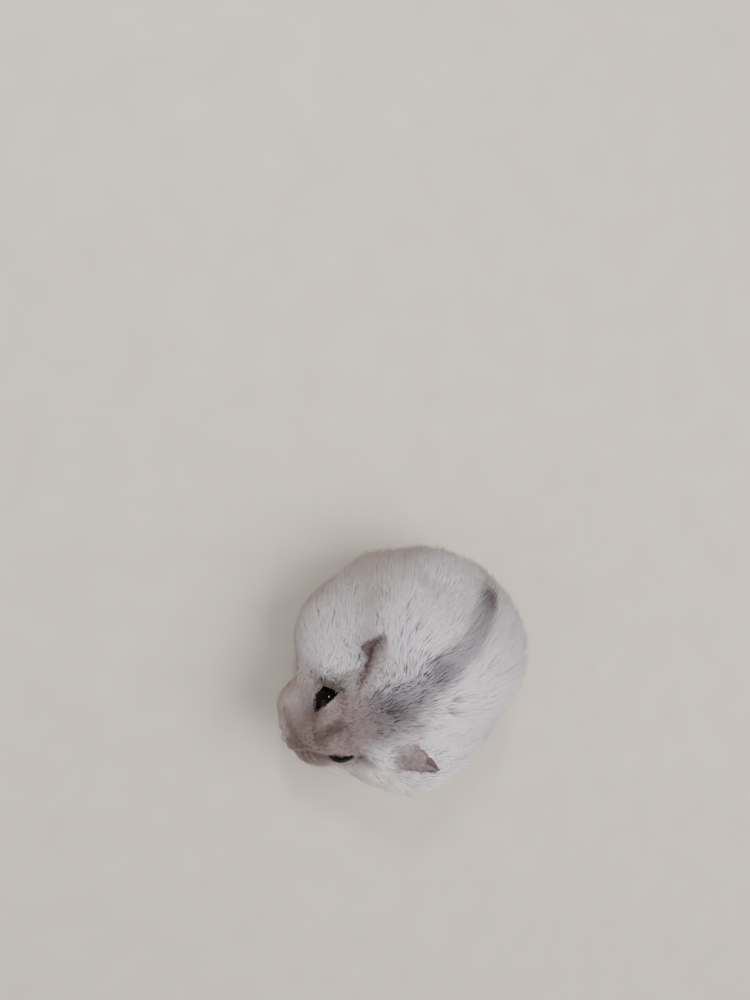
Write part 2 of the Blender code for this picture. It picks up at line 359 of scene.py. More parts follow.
# %% Open the lids over the eyeballs
# In degrees: where the middle of each slit faces (forward of sideways, and up), how far its front
# corner is raised, half its length, and how far the upper and lower lids open.
EYE_SLITS = {"left": {"forward": 36, "up": 54, "roll": 20, "side": 57, "upper": 17, "lower": 34},
             "right": {"forward": 9, "up": 29, "roll": 22, "side": 70, "upper": 36, "lower": 25}}
SLIT_POINTEDNESS = 1.8
LID_THICKNESS = 0.28
LID_SLOPE = (radians(1.0), radians(19.0))      # over this angle the lid leaves the ball for the face
EYE_HOLLOW = 0.5                               # how far behind the ball's surface the skin drops
LID_EDGE = (0.90, 1.04)                        # shares of the slit between which it climbs out again
LID_REACH, LID_TURN = 3.5, radians(115.0)      # how far from the ball and its axis the skin is moved


def slit_of(side):
    """An eye's slit in radians."""
    return {key: radians(value) for key, value in EYE_SLITS[side].items()}


def eye_axes(side):
    """Outward, forward and upward directions of an eye's slit."""
    slit = slit_of(side)
    out = head_left if side == "left" else -head_left
    level = cos(slit["forward"]) * out + sin(slit["forward"]) * head_front
    outward = cos(slit["up"]) * level + sin(slit["up"]) * head_up
    forward = unit(head_front - head_front.dot(outward) * outward)
    upward = head_up - head_up.dot(outward) * outward
    upward = unit(upward - upward.dot(forward) * forward)
    roll = slit["roll"]
    return outward, cos(roll) * forward + sin(roll) * upward, cos(roll) * upward - sin(roll) * forward


def slit_angle(around, side):
    """Angle from the eye's axis to the lid's edge, all round the slit."""
    slit = slit_of(side)
    tall = np.where(np.sin(around) > 0.0, slit["upper"], slit["lower"])
    wide = np.abs(np.cos(around) / slit["side"]) ** SLIT_POINTEDNESS
    high = np.abs(np.sin(around) / tall) ** SLIT_POINTEDNESS
    return (wide + high) ** (-1.0 / SLIT_POINTEDNESS)


def seen_from_eye(points, side):
    """Distance from the eyeball's middle, share of the way to the lid's edge, and angle."""
    outward, forward, upward = eye_axes(side)
    ray = points - eye_places[side]
    distance = np.linalg.norm(ray, axis=1)
    angle = np.arccos(np.clip(ray @ outward / np.maximum(distance, 1e-6), -1.0, 1.0))
    around = np.arctan2(ray @ upward, ray @ forward)
    return distance, angle / slit_angle(around, side), angle


for side in ("left", "right"):
    distance, share, angle = seen_from_eye(skin_points, side)
    near = (distance < EYE_RADIUS + LID_REACH) & (angle < LID_TURN)
    rim = EYE_RADIUS + LID_THICKNESS
    slope = ease(*LID_SLOPE, angle - angle / np.maximum(share, 1e-6))
    closed = rim + (np.maximum(distance, rim) - rim) * slope
    opened = EYE_RADIUS - EYE_HOLLOW + (LID_THICKNESS + EYE_HOLLOW) * ease(*LID_EDGE, share)
    wanted = np.where(share < LID_EDGE[1], opened, closed)
    ray = unit(skin_points - eye_places[side])
    skin_points[near] = (eye_places[side] + ray * wanted[:, None])[near]
    print("lids,", side, "eye:", int(near.sum()), "points moved")

# %% [markdown]
# ## Mouth
# Below the nose a short groove runs down and forks into the two corners of the mouth. It is a
# shallow crease in the skin: the points near a line in the head's frame are pressed inward.

# %% Press in the mouth
MOUTH_FORK = (8.4, 0.0, -5.4)
MOUTH_PATHS = [((9.2, 0.0, -3.4), MOUTH_FORK)]
for sign in (1.0, -1.0):
    MOUTH_PATHS.append((MOUTH_FORK, (6.6, sign * 2.2, -6.3), (4.4, sign * 3.2, -6.9)))
CREASE_DEPTH, CREASE_WIDTH = 0.55, 0.75


def distance_to_line(points, start, end):
    """Distance from points to a straight stretch."""
    start, end = np.array(start), np.array(end)
    along = end - start
    share = np.clip((points - start) @ along / along.dot(along), 0.0, 1.0)
    return np.linalg.norm(points - start - share[:, None] * along, axis=1)


def distance_to_path(points, corners):
    """Distance from points to a line with corners."""
    return np.min([distance_to_line(points, *pair) for pair in zip(corners[:-1], corners[1:])], axis=0)


def near_mouth(points, width):
    """1 on the mouth's lines, fading to 0 over about that width."""
    local = in_head(points)
    away = np.min([distance_to_path(local, corners) for corners in MOUTH_PATHS], axis=0)
    return np.exp(-(away / width) ** 2)


crease = CREASE_DEPTH * near_mouth(skin_points, CREASE_WIDTH)
skin_points -= crease[:, None] * normals_of(skin_points, skin_triangles)
print("deepest mouth crease:", round(float(crease.max()), 2))

# %% [markdown]
# ## Ears
# An ear is a leaf of thin skin on a narrow root, folded along its length. Cut across, it is a path
# whose heading turns as it goes. The right ear doubles back like a hairpin: its furry outside
# covers the hollow, and a bare lobe stands out below it. The left ear is bowed like a roof tile,
# and one edge flips over near the tip. Each path is walked in small steps, then given thickness.

# %% Paths across the two ears
EAR_ROWS, EAR_STEPS = 44, 56
EAR_THICKNESS = 0.42
EARS = {
    "right": {"root": (5.8, -10.9, 24.8), "along": (-0.758, -0.451, 0.470),
              "across": (0.266, -0.884, -0.376), "length": 10.4, "furry": 1.0},
    "left": {"root": (10.5, 4.0, 24.4), "along": (-0.261, 0.769, 0.583),
             "across": (0.963, 0.264, -0.052), "length": 8.9, "furry": -1.0},
}
EAR_ROOT, EAR_TIP = -0.12, 0.985      # first and last row, as shares of the length
RIM_TAPER = (0.0, 0.8)                # the leaf thins to 0.45 of its thickness this near its edge


def right_ear_path(row, steps):
    """Arc lengths and headings across the right ear, and where its last point lies."""
    leaf = np.clip(1.0 - np.abs(row) ** 2.8, 0.02, 1.0) ** 0.9 * (0.80 + 0.20 * ease(-0.1, 0.35, row))
    flap, fold = 2.9 * leaf, 0.80 * leaf
    lobe = 2.7 * ease(0.46, 0.70, row) * np.clip((1.0 - row) / 0.32, 0.0, 1.0) ** 0.9
    first, last = flap - fold + lobe, flap - fold + 0.1
    bend = pi * fold
    arc = steps * (first + bend + last)
    heading = pi + 0.45 - 0.45 * ease(0.0, first, arc) - pi * ease(first, first + bend, arc)
    heading -= 0.4 * ease(first + bend, first + bend + last, arc)
    return arc, heading, np.concatenate([0.1 * leaf, 0.5 * leaf], axis=1)


def left_ear_path(row, steps):
    """Arc lengths and headings across the left ear, and where its last point lies."""
    leaf = np.clip(1.0 - np.abs(row) ** 1.8, 0.02, 1.0) * (0.6 + 0.4 * ease(-0.1, 0.4, row))
    main, bow, curl = 6.4 * leaf, 0.55, 0.45
    share = ease(0.64, 0.78, row) * np.clip((1.0 - row) / 0.27, 0.0, 1.0)
    strip = 1.4 * share
    arc = steps * (main + curl * share + strip)
    heading = pi - bow + 2.0 * bow * ease(0.0, main, arc)
    heading -= (pi + bow - 0.8) * ease(main, main + curl, arc)
    return arc, heading, np.concatenate([-0.34 * main + 0.8 * strip, 0.15 * strip], axis=1)


# %% Turn a path into a leaf with two sides
def walked(arc, heading, last):
    """Points of flat paths from arc lengths and headings, shifted so that each ends where it should."""
    stride = np.diff(arc, axis=1)
    middle = 0.5 * (heading[:, 1:] + heading[:, :-1])
    walk = np.stack([stride * np.cos(middle), stride * np.sin(middle)], axis=-1)
    walk = np.concatenate([np.zeros((EAR_ROWS, 1, 2)), np.cumsum(walk, axis=1)], axis=1)
    return walk + (last - walk[:, -1])[:, None]


def shell_triangles(rows, columns):
    """Triangles of two grids of points, one the other's back, joined by a wall round their edge."""
    size = rows * columns
    grid = np.arange(size).reshape(rows, columns)
    here, beside = grid[:-1, :-1].ravel(), grid[:-1, 1:].ravel()
    above, corner = grid[1:, :-1].ravel(), grid[1:, 1:].ravel()
    face = np.concatenate([np.stack([here, beside, corner], 1), np.stack([here, corner, above], 1)])
    loop = np.concatenate([grid[0], grid[1:, -1], grid[-1, -2::-1], grid[-2:0:-1, 0]])
    after = np.roll(loop, -1)
    wall = np.concatenate([np.stack([after, loop, loop + size], 1),
                           np.stack([after, loop + size, after + size], 1)])
    return face, np.concatenate([face, face[:, ::-1] + size, wall])


def ear_leaf(side):
    """Points and triangles of an ear; for each point: bare side or not, distance from the rim, row."""
    ear = EARS[side]
    along = unit(np.array(ear["along"]))
    across = np.array(ear["across"])
    across = unit(across - across.dot(along) * along)
    raised = np.cross(along, across) * (1.0 if side == "right" else -1.0)
    row = np.linspace(EAR_ROOT, EAR_TIP, EAR_ROWS)[:, None]
    steps = np.linspace(0.0, 1.0, EAR_STEPS)[None]
    arc, heading, last = (right_ear_path if side == "right" else left_ear_path)(row, steps)
    walk = walked(arc, heading, last)
    rim = np.minimum(arc, arc[:, -1:] - arc)
    rim = np.minimum(rim, (1.0 - row) * ear["length"])
    thick = 0.5 * EAR_THICKNESS * (0.45 + 0.55 * ease(*RIM_TAPER, rim))[..., None]
    sheet = np.array(ear["root"]) + row[..., None] * ear["length"] * along
    sheet = sheet + walk[..., :1] * across + walk[..., 1:] * raised
    normal = -np.sin(heading)[..., None] * across + np.cos(heading)[..., None] * raised
    normal = ear["furry"] * normal
    points = np.concatenate([(sheet + sign * thick * normal).reshape(-1, 3) for sign in (1.0, -1.0)])
    face, triangles = shell_triangles(EAR_ROWS, EAR_STEPS)
    first, second, third = (points[face[:, corner]] for corner in range(3))
    facing = np.cross(second - first, third - first)
    if np.sum(facing * normal.reshape(-1, 3)[face[:, 0]]) < 0.0:
        triangles = triangles[:, ::-1]
    rows = np.broadcast_to(row, rim.shape).ravel()
    return points, triangles, np.repeat([0.0, 1.0], rim.size), np.tile(rim.ravel(), 2), np.tile(rows, 2)


leaves = {side: ear_leaf(side) for side in ("left", "right")}
body_count = len(skin_points)
skin_points, skin_triangles = joined([(skin_points, skin_triangles)]
                                     + [leaf[:2] for leaf in leaves.values()])
skin_bare, skin_rim, skin_row = (
    np.concatenate([np.zeros(body_count)] + [leaf[item] for leaf in leaves.values()])
    for item in (2, 3, 4))
print("skin with ears:", len(skin_points), "points")

# %% [markdown]
# ## Markings and painted shade
# The pearl coat is white with a slate stripe down the spine, a grey crown, a dark patch on the forehead,
# a grey-brown muzzle and a dark line from the eye to the ear. Shade is painted into the same colour:
# warm brown and darker low on the body and on parts of the right flank, darker on the left side of the
# muzzle, and tan under the face. One function works the colour out from a point's place, so skin and
# hair agree everywhere, and no texture is needed.

# %% Colours of the coat and skin


def srgb(red, green, blue):
    """A colour given in sRGB, as the linear values that shaders use."""
    value = np.array([red, green, blue]) / 255.0
    return np.where(value <= 0.04045, value / 12.92, ((value + 0.055) / 1.055) ** 2.4)


PEARL = srgb(240, 235, 240)
CHEEK_WHITE = srgb(238, 228, 228)
# Painted shade: the warm brown that low and edge parts of the white coat take from shade and from brown
# light thrown up around them.
PAINTED_SHADE_BROWN = srgb(162, 137, 121)
STRIPE_GREY = srgb(108, 100, 110)
RUMP_BROWN = srgb(104, 84, 82)
CROWN_GREY = srgb(132, 117, 119)
FOREHEAD_DARK = srgb(100, 79, 74)
FACE_GREY = srgb(138, 118, 112)
FACE_LILAC = srgb(156, 139, 137)
# Brown of the face's markings, also used as painted shade on the left side of the muzzle.
FACE_BROWN_AND_SHADE = srgb(118, 97, 86)
# Tan of the lower face: partly the pads' own colour, partly painted shade on white hair that faces down.
PAD_TAN_AND_SHADE = srgb(176, 150, 136)
EAR_BROWN = srgb(126, 104, 88)
EAR_BACK = srgb(150, 134, 136)
EAR_INSIDE = srgb(100, 80, 77)
# Painted shade deep in the ear's hollow and in the right ear's slit, over skin that is darker there too.
EAR_DEEP_SHADE = srgb(62, 40, 34)
EAR_RIM = srgb(58, 44, 44)
UNDERCOAT = srgb(196, 189, 194)
LID_BLACK = srgb(24, 18, 18)
SKIN_PINK = srgb(206, 160, 148)


# %% Soft shapes that markings are painted with
def ripple(points, size, seed):
    """A smooth wandering value from about -1 to 1 with features of about that size."""
    chance = np.random.default_rng(seed)
    total = np.zeros(len(points))
    for _ in range(7):
        direction = unit(chance.normal(size=3)) * chance.uniform(0.7, 1.4)
        total += np.sin(points @ direction * 2.0 * pi / size + chance.uniform(0.0, 2.0 * pi))
    return total / 3.0


# Along the spine: x, middle of the stripe, half its width, and how dark it is.
SPINE_STRIPE = (
    (-24.5, -3.6, 1.6, 0.2), (-20.6, -4.2, 2.3, 0.8), (-17.4, -4.2, 2.3, 0.6), (-14.9, -4.2, 2.4, 0.55),
    (-10.8, -4.5, 2.5, 0.58), (-7.6, -5.0, 2.6, 0.58), (-5.0, -4.7, 2.7, 0.82), (-1.2, -4.5, 2.8, 0.6),
    (2.4, -4.7, 3.2, 0.5), (7.5, -4.2, 4.6, 0.5), (13.0, -5.2, 6.0, 0.35),
)


def stripe_strength(points):
    """How much of the spine's grey shows at each point, and how brown it is."""
    along, middle, half, dark = np.array(SPINE_STRIPE).T
    x = points[:, 0] + 0.35 * ripple(points, 4.0, 11)
    across = np.abs(points[:, 1] - np.interp(x, along, middle) + 0.25 * ripple(points, 2.6, 12))
    share = 1.0 - ease(0.45, 1.5, across / np.interp(x, along, half))
    upper = ease(14.0, 21.0, points[:, 2]) * ease(-26.0, -21.5, x) * (1.0 - ease(12.0, 17.0, x))
    return share * upper * np.interp(x, along, dark)


# %% The coat's colour at any place
# Streaks on the face in the head's frame: corners of a line, how far its colour spreads, how
# strong it is, and the colour.
FACE_STREAKS = (
    (((4.6, -0.2, 5.1), (2.6, -1.1, 5.5), (0.4, -1.5, 5.6)), (0.5, 2.0), 0.9, FOREHEAD_DARK * 0.95),
    (((3.4, -4.6, 2.1), (4.4, -3.3, 3.5), (5.0, -1.4, 4.5), (4.4, -0.3, 5.1)),
     (0.2, 1.3), 0.7, FACE_BROWN_AND_SHADE),
    (((3.7, 2.7, 4.4), (4.6, 1.2, 4.9), (4.4, -0.3, 5.1)), (0.2, 1.2), 0.6, FACE_BROWN_AND_SHADE),
    (((7.9, -5.0, -1.3), (8.2, -3.5, 0.0), (8.5, -1.4, 1.2), (7.8, 1.0, 2.0), (7.0, 3.6, 0.9)),
     (0.3, 1.6), 0.6, FACE_BROWN_AND_SHADE),
    (((-2.0, -8.3, 3.4), (-3.5, -10.0, 6.0), (-5.0, -10.4, 7.5)), (0.2, 1.4), 0.5, EAR_BROWN),
    (((-0.5, 6.4, 2.6), (-3.1, 7.7, 3.5), (-6.0, 9.8, 3.9), (-8.8, 12.0, 4.1)),
     (0.2, 1.4), 0.5, EAR_BROWN),
    (((-8.6, -4.0, 11.2), (-11.2, -4.3, 13.5), (-15.0, -6.0, 16.6)), (0.1, 0.8), 0.5, FOREHEAD_DARK),
    (((-9.0, -1.6, 11.2), (-11.7, -1.5, 12.5)), (0.1, 0.7), 0.45, FOREHEAD_DARK),
    (((-3.9, 1.3, 7.5), (-6.3, 1.0, 9.1)), (0.1, 0.9), 0.3, FOREHEAD_DARK),
)
# Soft patches in the head's frame: middle, radii, how strong, colour. The second, on the left side of
# the muzzle, is painted shade where the face turns down and away.
FACE_PATCHES = (
    ((6.2, -2.6, 2.4), (2.6, 2.4, 2.2), 0.6, FACE_LILAC),
    ((6.6, 4.2, -0.9), (5.4, 4.4, 4.8), 0.85, FACE_BROWN_AND_SHADE),
    ((-1.8, -4.6, 5.4), (3.2, 1.9, 2.6), 0.75, FACE_LILAC * 1.6),
    ((0.2, 3.2, 4.8), (3.2, 1.6, 1.8), 0.5, FACE_LILAC * 1.1),
    ((-7.0, -1.8, 9.6), (3.6, 3.0, 3.6), 0.7, CROWN_GREY * 0.9),
    ((-4.0, 2.4, 8.0), (3.4, 2.2, 3.0), 0.45, CROWN_GREY),
    ((-9.6, 6.9, 7.5), (1.9, 1.4, 1.7), 0.6, FOREHEAD_DARK),
)
# Painted shade in warm brown on the right shoulder and flank: middle, radii, how strong. The last, thin
# one is a parting in the fur, partly painted shade.
BODY_SHADES = (
    ((-6.4, -20.7, 22.4), (3.5, 4.0, 4.5), 0.30), ((-1.8, -17.6, 25.8), (3.0, 3.0, 3.0), 0.22),
    ((-16.8, -20.0, 20.0), (8.0, 4.5, 6.5), 0.40), ((-15.0, -14.6, 28.8), (0.9, 2.0, 2.2), 0.35),
)


def coat_colour(points):
    """Linear colour of the hair tips at world points: markings, with painted shade low on the body, on
    the right flank and on the face.
    """
    wander = np.stack([ripple(points, 3.0, seed) for seed in (1, 2, 3)], axis=1)
    local = in_head(points + 0.18 * wander)
    colour = np.tile(PEARL, (len(points), 1))
    colour = mix(colour, CROWN_GREY, 0.14 * ease(0.2, 1.2, ripple(points, 9.0, 21)))
    # Painted shade: the coat turns warm brown and darker towards the floor.
    colour = mix(colour, PAINTED_SHADE_BROWN, 0.9 * (1.0 - ease(4.0, 25.0, points[:, 2])))
    colour = mix(colour, CHEEK_WHITE, 0.85 * blob(local, (-5.0, 13.5, -0.5), (11.0, 6.5, 6.5)))
    colour = mix(colour, CROWN_GREY, 0.5 * blob(local, (-7.5, -1.0, 9.5), (8.0, 6.5, 6.0)))
    # Painted shade on the right shoulder and flank, and one parting in the fur.
    for middle, radii, strength in BODY_SHADES:
        colour = mix(colour, PAINTED_SHADE_BROWN, strength * blob(points, middle, radii, 0.8))
    colour = mix(colour, STRIPE_GREY, stripe_strength(points))
    colour = mix(colour, RUMP_BROWN, 0.85 * blob(points, (-20.9, -4.2, 29.8), (2.6, 1.9, 3.6)))
    between_cheeks = 1.0 - ease(8.0, 12.5, np.abs(local[:, 1]))
    face = ease(-7.0, 0.0, local[:, 0]) * ease(-3.6, 1.6, local[:, 2]) * between_cheeks
    colour = mix(colour, FACE_GREY, 0.9 * face)
    # Partly painted shade: the lower face turns tan where it faces down.
    lower_face = ease(-3.0, 4.0, local[:, 0]) * (1.0 - ease(-3.6, 0.0, local[:, 2])) * between_cheeks
    colour = mix(colour, PAD_TAN_AND_SHADE, 0.8 * lower_face)
    for middle, radii, strength, tint in FACE_PATCHES:
        colour = mix(colour, tint, strength * blob(local, middle, radii, 0.9))
    for corners, fade, strength, tint in FACE_STREAKS:
        colour = mix(colour, tint, strength * (1.0 - ease(*fade, distance_to_path(local, corners))))
    colour = mix(colour, FACE_BROWN_AND_SHADE * 0.6, 0.7 * near_mouth(points, 0.55))
    for side in ("left", "right"):
        distance, share, _ = seen_from_eye(points, side)
        beside_eye = (distance < EYE_RADIUS + 2.5) * (1.0 - ease(1.0, 1.25, share))
        colour = mix(colour, FOREHEAD_DARK, 0.12 * beside_eye)
    return colour * (1.0 + 0.03 * ripple(points, 1.6, 31)[:, None])


# %% [markdown]
# ## Which part each point of the skin belongs to
# Ears, paws and tail wear shorter hair than the body. The ears' points are known from the start. A
# point that stands clear of the body's core, in the box of a paw's or the tail's solid, is on that.

# %% Sort the skin's points
skin_normals = normals_of(skin_points, skin_triangles)
PARTS = ("body",) + APPENDAGES
LEFT_EAR, RIGHT_EAR = PARTS.index("ear_left"), PARTS.index("ear_right")
CLEAR_BY, BOX_MARGIN = 0.3, 0.6
skin_part = np.zeros(len(skin_points), dtype=int)
without_leaves = skin_points[:body_count]
clear_of_core = heights_over(core_tree, without_leaves) > CLEAR_BY
for number, name in enumerate(APPENDAGES, start=1):
    if "ear" not in name:
        low, high = corners_of(name)
        above, below = without_leaves > low - BOX_MARGIN, without_leaves < high + BOX_MARGIN
        skin_part[:body_count][np.all(above & below, axis=1) & clear_of_core] = number
start = body_count
for side, leaf in leaves.items():
    skin_part[start:start + len(leaf[0])] = PARTS.index("ear_" + side)
    start += len(leaf[0])
skin_depth = -heights_over(outline_tree, skin_points)
on_ears = np.isin(skin_part, (LEFT_EAR, RIGHT_EAR))
skin_tree = tree_of((without_leaves, skin_triangles[(skin_triangles < body_count).all(axis=1)]))
for number, name in enumerate(PARTS):
    print(name, int((skin_part == number).sum()), "points")

# %% [markdown]
# ## Colour of the skin
# Skin shows on the lids, in the ears' hollows, on the paws and at the lips, and elsewhere only
# between tufts, where it has to look like deeper hair. A colour is stored on every point, because
# the points are close enough together to hold a marking, and then no image has to be painted.


# %% Paint the skin and make it
def skin_colour():
    """Colour of the skin: the coat's colour with its markings and painted shade, a little darker, with
    bare places of their own and painted shade in the ears' hollows.
    """
    points = skin_points
    colour = 0.9 * coat_colour(points)
    on_paw = np.isin(skin_part, [number for number, name in enumerate(PARTS) if "foot" in name])
    colour = mix(colour, SKIN_PINK, 0.8 * on_paw)
    # The ear's bare hollow darkens with distance from the rim: painted shade deep in the fold.
    hollow = mix(EAR_DEEP_SHADE, EAR_INSIDE, ease(0.4, 3.0, 3.4 - skin_rim))
    colour = mix(colour, EAR_BACK, on_ears)
    colour = np.where((on_ears * skin_bare)[:, None] > 0.5, hollow, colour)
    rim = on_ears * ease(0.45, 0.7, skin_row) * (1.0 - ease(0.1, 0.45, skin_rim))
    colour = mix(colour, EAR_RIM, 0.8 * rim)
    colour = mix(colour, SKIN_PINK * 0.7, near_mouth(points, 0.5))
    for side in ("left", "right"):
        distance, share, _ = seen_from_eye(points, side)
        lid = (distance < EYE_RADIUS + 1.2) * (1.0 - ease(1.04, 1.12, share))
        colour = mix(colour, LID_BLACK, lid)
    return colour


def store_colour(part_object, name, colours):
    """Keep a colour for every point of a mesh, for its material to read."""
    layer = part_object.data.attributes.new(name, "FLOAT_COLOR", "POINT")
    values = np.ones((len(colours), 4), dtype=np.float32)
    values[:, :3] = np.clip(colours, 0.0, 1.0)
    layer.data.foreach_set("color", values.ravel())


skin = make_mesh("skin", skin_points, skin_triangles)
store_colour(skin, "marking_and_shade", skin_colour())
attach(skin, "root")
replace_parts(skin, *[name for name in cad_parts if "eye" not in name and name != "nose"])

# %% [markdown]
# ## Materials
# Nothing on an animal has one flat colour or one even gloss. So every finish here is a shader
# with noise in it, and a few helpers add what they share: the noise, its range and a fine relief.

# %% Material helpers


def new_material(name):
    """A node material and its Principled shader."""
    made = bpy.data.materials.new(name)
    made.use_nodes = True
    return made, made.node_tree, made.node_tree.nodes["Principled BSDF"]


def set_inputs(node, values):
    """Give a node's inputs their values, by name."""
    for name, value in values.items():
        node.inputs[name].default_value = value


def add_noise(tree, size):
    """Noise in the object's own space, with features of about that size in millimetres."""
    place = tree.nodes.new("ShaderNodeTexCoord")
    noise = tree.nodes.new("ShaderNodeTexNoise")
    set_inputs(noise, {"Scale": 1.0 / (size * MM), "Detail": 3.0})
    tree.links.new(place.outputs["Object"], noise.inputs["Vector"])
    return noise


def spread(tree, source, low, high):
    """Stretch noise, which mostly lies between 0.3 and 0.7, to the range low to high."""
    stretch = tree.nodes.new("ShaderNodeMapRange")
    set_inputs(stretch, {"From Min": 0.3, "From Max": 0.7, "To Min": low, "To Max": high})
    tree.links.new(source, stretch.inputs["Value"])
    return stretch.outputs["Result"]


def add_bump(tree, shader, source, height, strength):
    """Small relief from a value; height in millimetres."""
    bump = tree.nodes.new("ShaderNodeBump")
    set_inputs(bump, {"Distance": height * MM, "Strength": strength})
    tree.links.new(source, bump.inputs["Height"])
    tree.links.new(bump.outputs["Normal"], shader.inputs["Normal"])


def scaled_colour(tree, colour, value):
    """A colour output multiplied by a value output."""
    scale = tree.nodes.new("ShaderNodeVectorMath")
    scale.operation = "SCALE"
    tree.links.new(colour, scale.inputs[0])
    tree.links.new(value, scale.inputs["Scale"])
    return scale.outputs["Vector"]


# %% [markdown]
# ## Finish of hair and skin
# Soft hair is matt, with a faint sheen where light grazes it, and so is downy skin. One function makes
# both finishes, because both read their colour, markings and painted shade, from their points; they
# differ in roughness, grain and relief.


# %% Hair and skin materials
def marked_material(name, roughness, grain, contrast, relief, sheen):
    """Reads the stored colour of markings and painted shade, varies it finely, and gives it a matt,
    slightly sheeny finish.
    """
    made, tree, shader = new_material(name)
    marking_and_shade = tree.nodes.new("ShaderNodeAttribute")
    marking_and_shade.attribute_name = "marking_and_shade"
    noise = add_noise(tree, grain)
    tone = spread(tree, noise.outputs["Fac"], 1.0 - contrast, 1.0 + contrast)
    tree.links.new(scaled_colour(tree, marking_and_shade.outputs["Color"], tone), shader.inputs["Base Color"])
    tree.links.new(spread(tree, noise.outputs["Fac"], roughness - 0.08, roughness + 0.08),
                   shader.inputs["Roughness"])
    add_bump(tree, shader, noise.outputs["Fac"], relief, 0.5)
    set_inputs(shader, {"Specular IOR Level": 0.25, "Sheen Weight": sheen, "Sheen Roughness": 0.45})
    return made


hair_material = marked_material("coat_hair", 0.66, 0.5, 0.05, 0.02, 0.08)
skin_material = marked_material("skin", 0.6, 0.35, 0.10, 0.08, 0.10)
skin.data.materials.append(skin_material)
print("finishes made:", hair_material.name, skin_material.name)

# %% [markdown]
# ## Wet, horny and plain finishes
# An eye is wet and nearly black, a lid is dull black skin, a claw is smooth horn. Each of them is
# two close colours mingled by noise, which one function can make, and which keeps them from
# looking like plastic.


# %% Wet, horny and plain materials
def coloured_material(name, colour, other, grain, rough, relief):
    """Two close colours mingled by noise, with roughness and relief from the same noise."""
    made, tree, shader = new_material(name)
    noise = add_noise(tree, grain)
    blend = tree.nodes.new("ShaderNodeMix")
    blend.data_type = "RGBA"
    set_inputs(blend, {"A": (*colour, 1.0), "B": (*other, 1.0)})
    tree.links.new(spread(tree, noise.outputs["Fac"], 0.0, 1.0), blend.inputs["Factor"])
    tree.links.new(blend.outputs["Result"], shader.inputs["Base Color"])
    tree.links.new(spread(tree, noise.outputs["Fac"], rough[0], rough[1]), shader.inputs["Roughness"])
    add_bump(tree, shader, noise.outputs["Fac"], relief, 0.4)
    return made, shader


eye_material, eye_shader = coloured_material(
    "eye_wet", srgb(7, 5, 5), srgb(15, 9, 8), 1.2, (0.03, 0.06), 0.002)
set_inputs(eye_shader, {"Specular IOR Level": 0.0, "Coat Weight": 0.10, "Coat IOR": 1.8,
                        "Coat Roughness": 0.03})
lid_material, _ = coloured_material(
    "lid", srgb(14, 10, 10), srgb(28, 21, 20), 0.3, (0.55, 0.75), 0.03)
nose_material, nose_shader = coloured_material(
    "nose_skin", srgb(166, 148, 140), srgb(150, 131, 124), 0.3, (0.5, 0.65), 0.05)
set_inputs(nose_shader, {"Subsurface Weight": 0.15, "Subsurface Scale": 0.4 * MM})
claw_material, _ = coloured_material(
    "claw_horn", srgb(214, 200, 188), srgb(176, 158, 146), 0.4, (0.3, 0.45), 0.01)
whisker_material, _ = coloured_material(
    "whisker", srgb(176, 166, 164), srgb(128, 118, 116), 2.0, (0.35, 0.5), 0.005)

# %% [markdown]
# ## Eyes
# The ball is as large as the real one and mostly hidden, as in life. It is a little more domed in
# front, and so dark that only its wet gloss shows. A thin tube of lid skin follows the slit.

# %% Eyeballs and lid rims


def tube(path, radii, sides=6, closed=False):
    """A tube round a row of points, as (points, triangles); a closed one meets its own start."""
    path, radii = np.asarray(path), np.broadcast_to(radii, len(path))
    if closed:
        along = unit(np.roll(path, -1, axis=0) - np.roll(path, 1, axis=0))
    else:
        along = unit(np.gradient(path, axis=0))
    side = unit(np.cross(along, unit(path.mean(axis=0) - path + 1e-3)))
    up = np.cross(along, side)
    turn = np.arange(sides) * 2.0 * pi / sides
    ring = np.cos(turn)[None, :, None] * side[:, None] + np.sin(turn)[None, :, None] * up[:, None]
    points = (path[:, None] + ring * radii[:, None, None]).reshape(-1, 3)
    count = len(path)
    triangles = []
    for step in range(count if closed else count - 1):
        for corner in range(sides):
            here, beside = step * sides + corner, step * sides + (corner + 1) % sides
            shift = sides if step < count - 1 else -step * sides
            triangles += [(here, beside, beside + shift), (here, beside + shift, here + shift)]
    if not closed:
        last = (count - 1) * sides
        for corner in range(1, sides - 1):
            triangles += [(0, corner + 1, corner), (last, last + corner, last + corner + 1)]
    return points, np.array(triangles)


def finish_piece(piece, material):
    """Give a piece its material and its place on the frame."""
    piece.data.materials.append(material)
    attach(piece, "root")
    return piece


RIM_RADIUS, RIM_HEIGHT, RIM_POINTS = 0.15, 0.08, 72
DOME_BASE, DOME_RISE, DOME_EDGE = 0.985, 0.03, 0.72     # the ball's radius is less behind than in front
for side in ("left", "right"):
    outward, forward, upward = eye_axes(side)
    points, triangles = ball((0.0, 0.0, 0.0), (1.0, 1.0, 1.0), rings=48)
    dome = EYE_RADIUS * (DOME_BASE + DOME_RISE * ease(DOME_EDGE, 1.0, points @ outward))
    eyeball = make_mesh("eyeball_" + side, eye_places[side] + points * dome[:, None], triangles)
    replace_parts(finish_piece(eyeball, eye_material), "eye_" + side)
    around = np.arange(RIM_POINTS) * 2.0 * pi / RIM_POINTS
    angle = slit_angle(around, side) * 1.03
    ray = np.cos(angle)[:, None] * outward + np.sin(angle)[:, None] * (
        np.cos(around)[:, None] * forward + np.sin(around)[:, None] * upward)
    rim = tube(eye_places[side] + ray * (EYE_RADIUS + RIM_HEIGHT), RIM_RADIUS, closed=True)
    finish_piece(make_mesh("lid_rim_" + side, *rim), lid_material)
print("eyes placed", eye_places["left"].round(1), eye_places["right"].round(1))

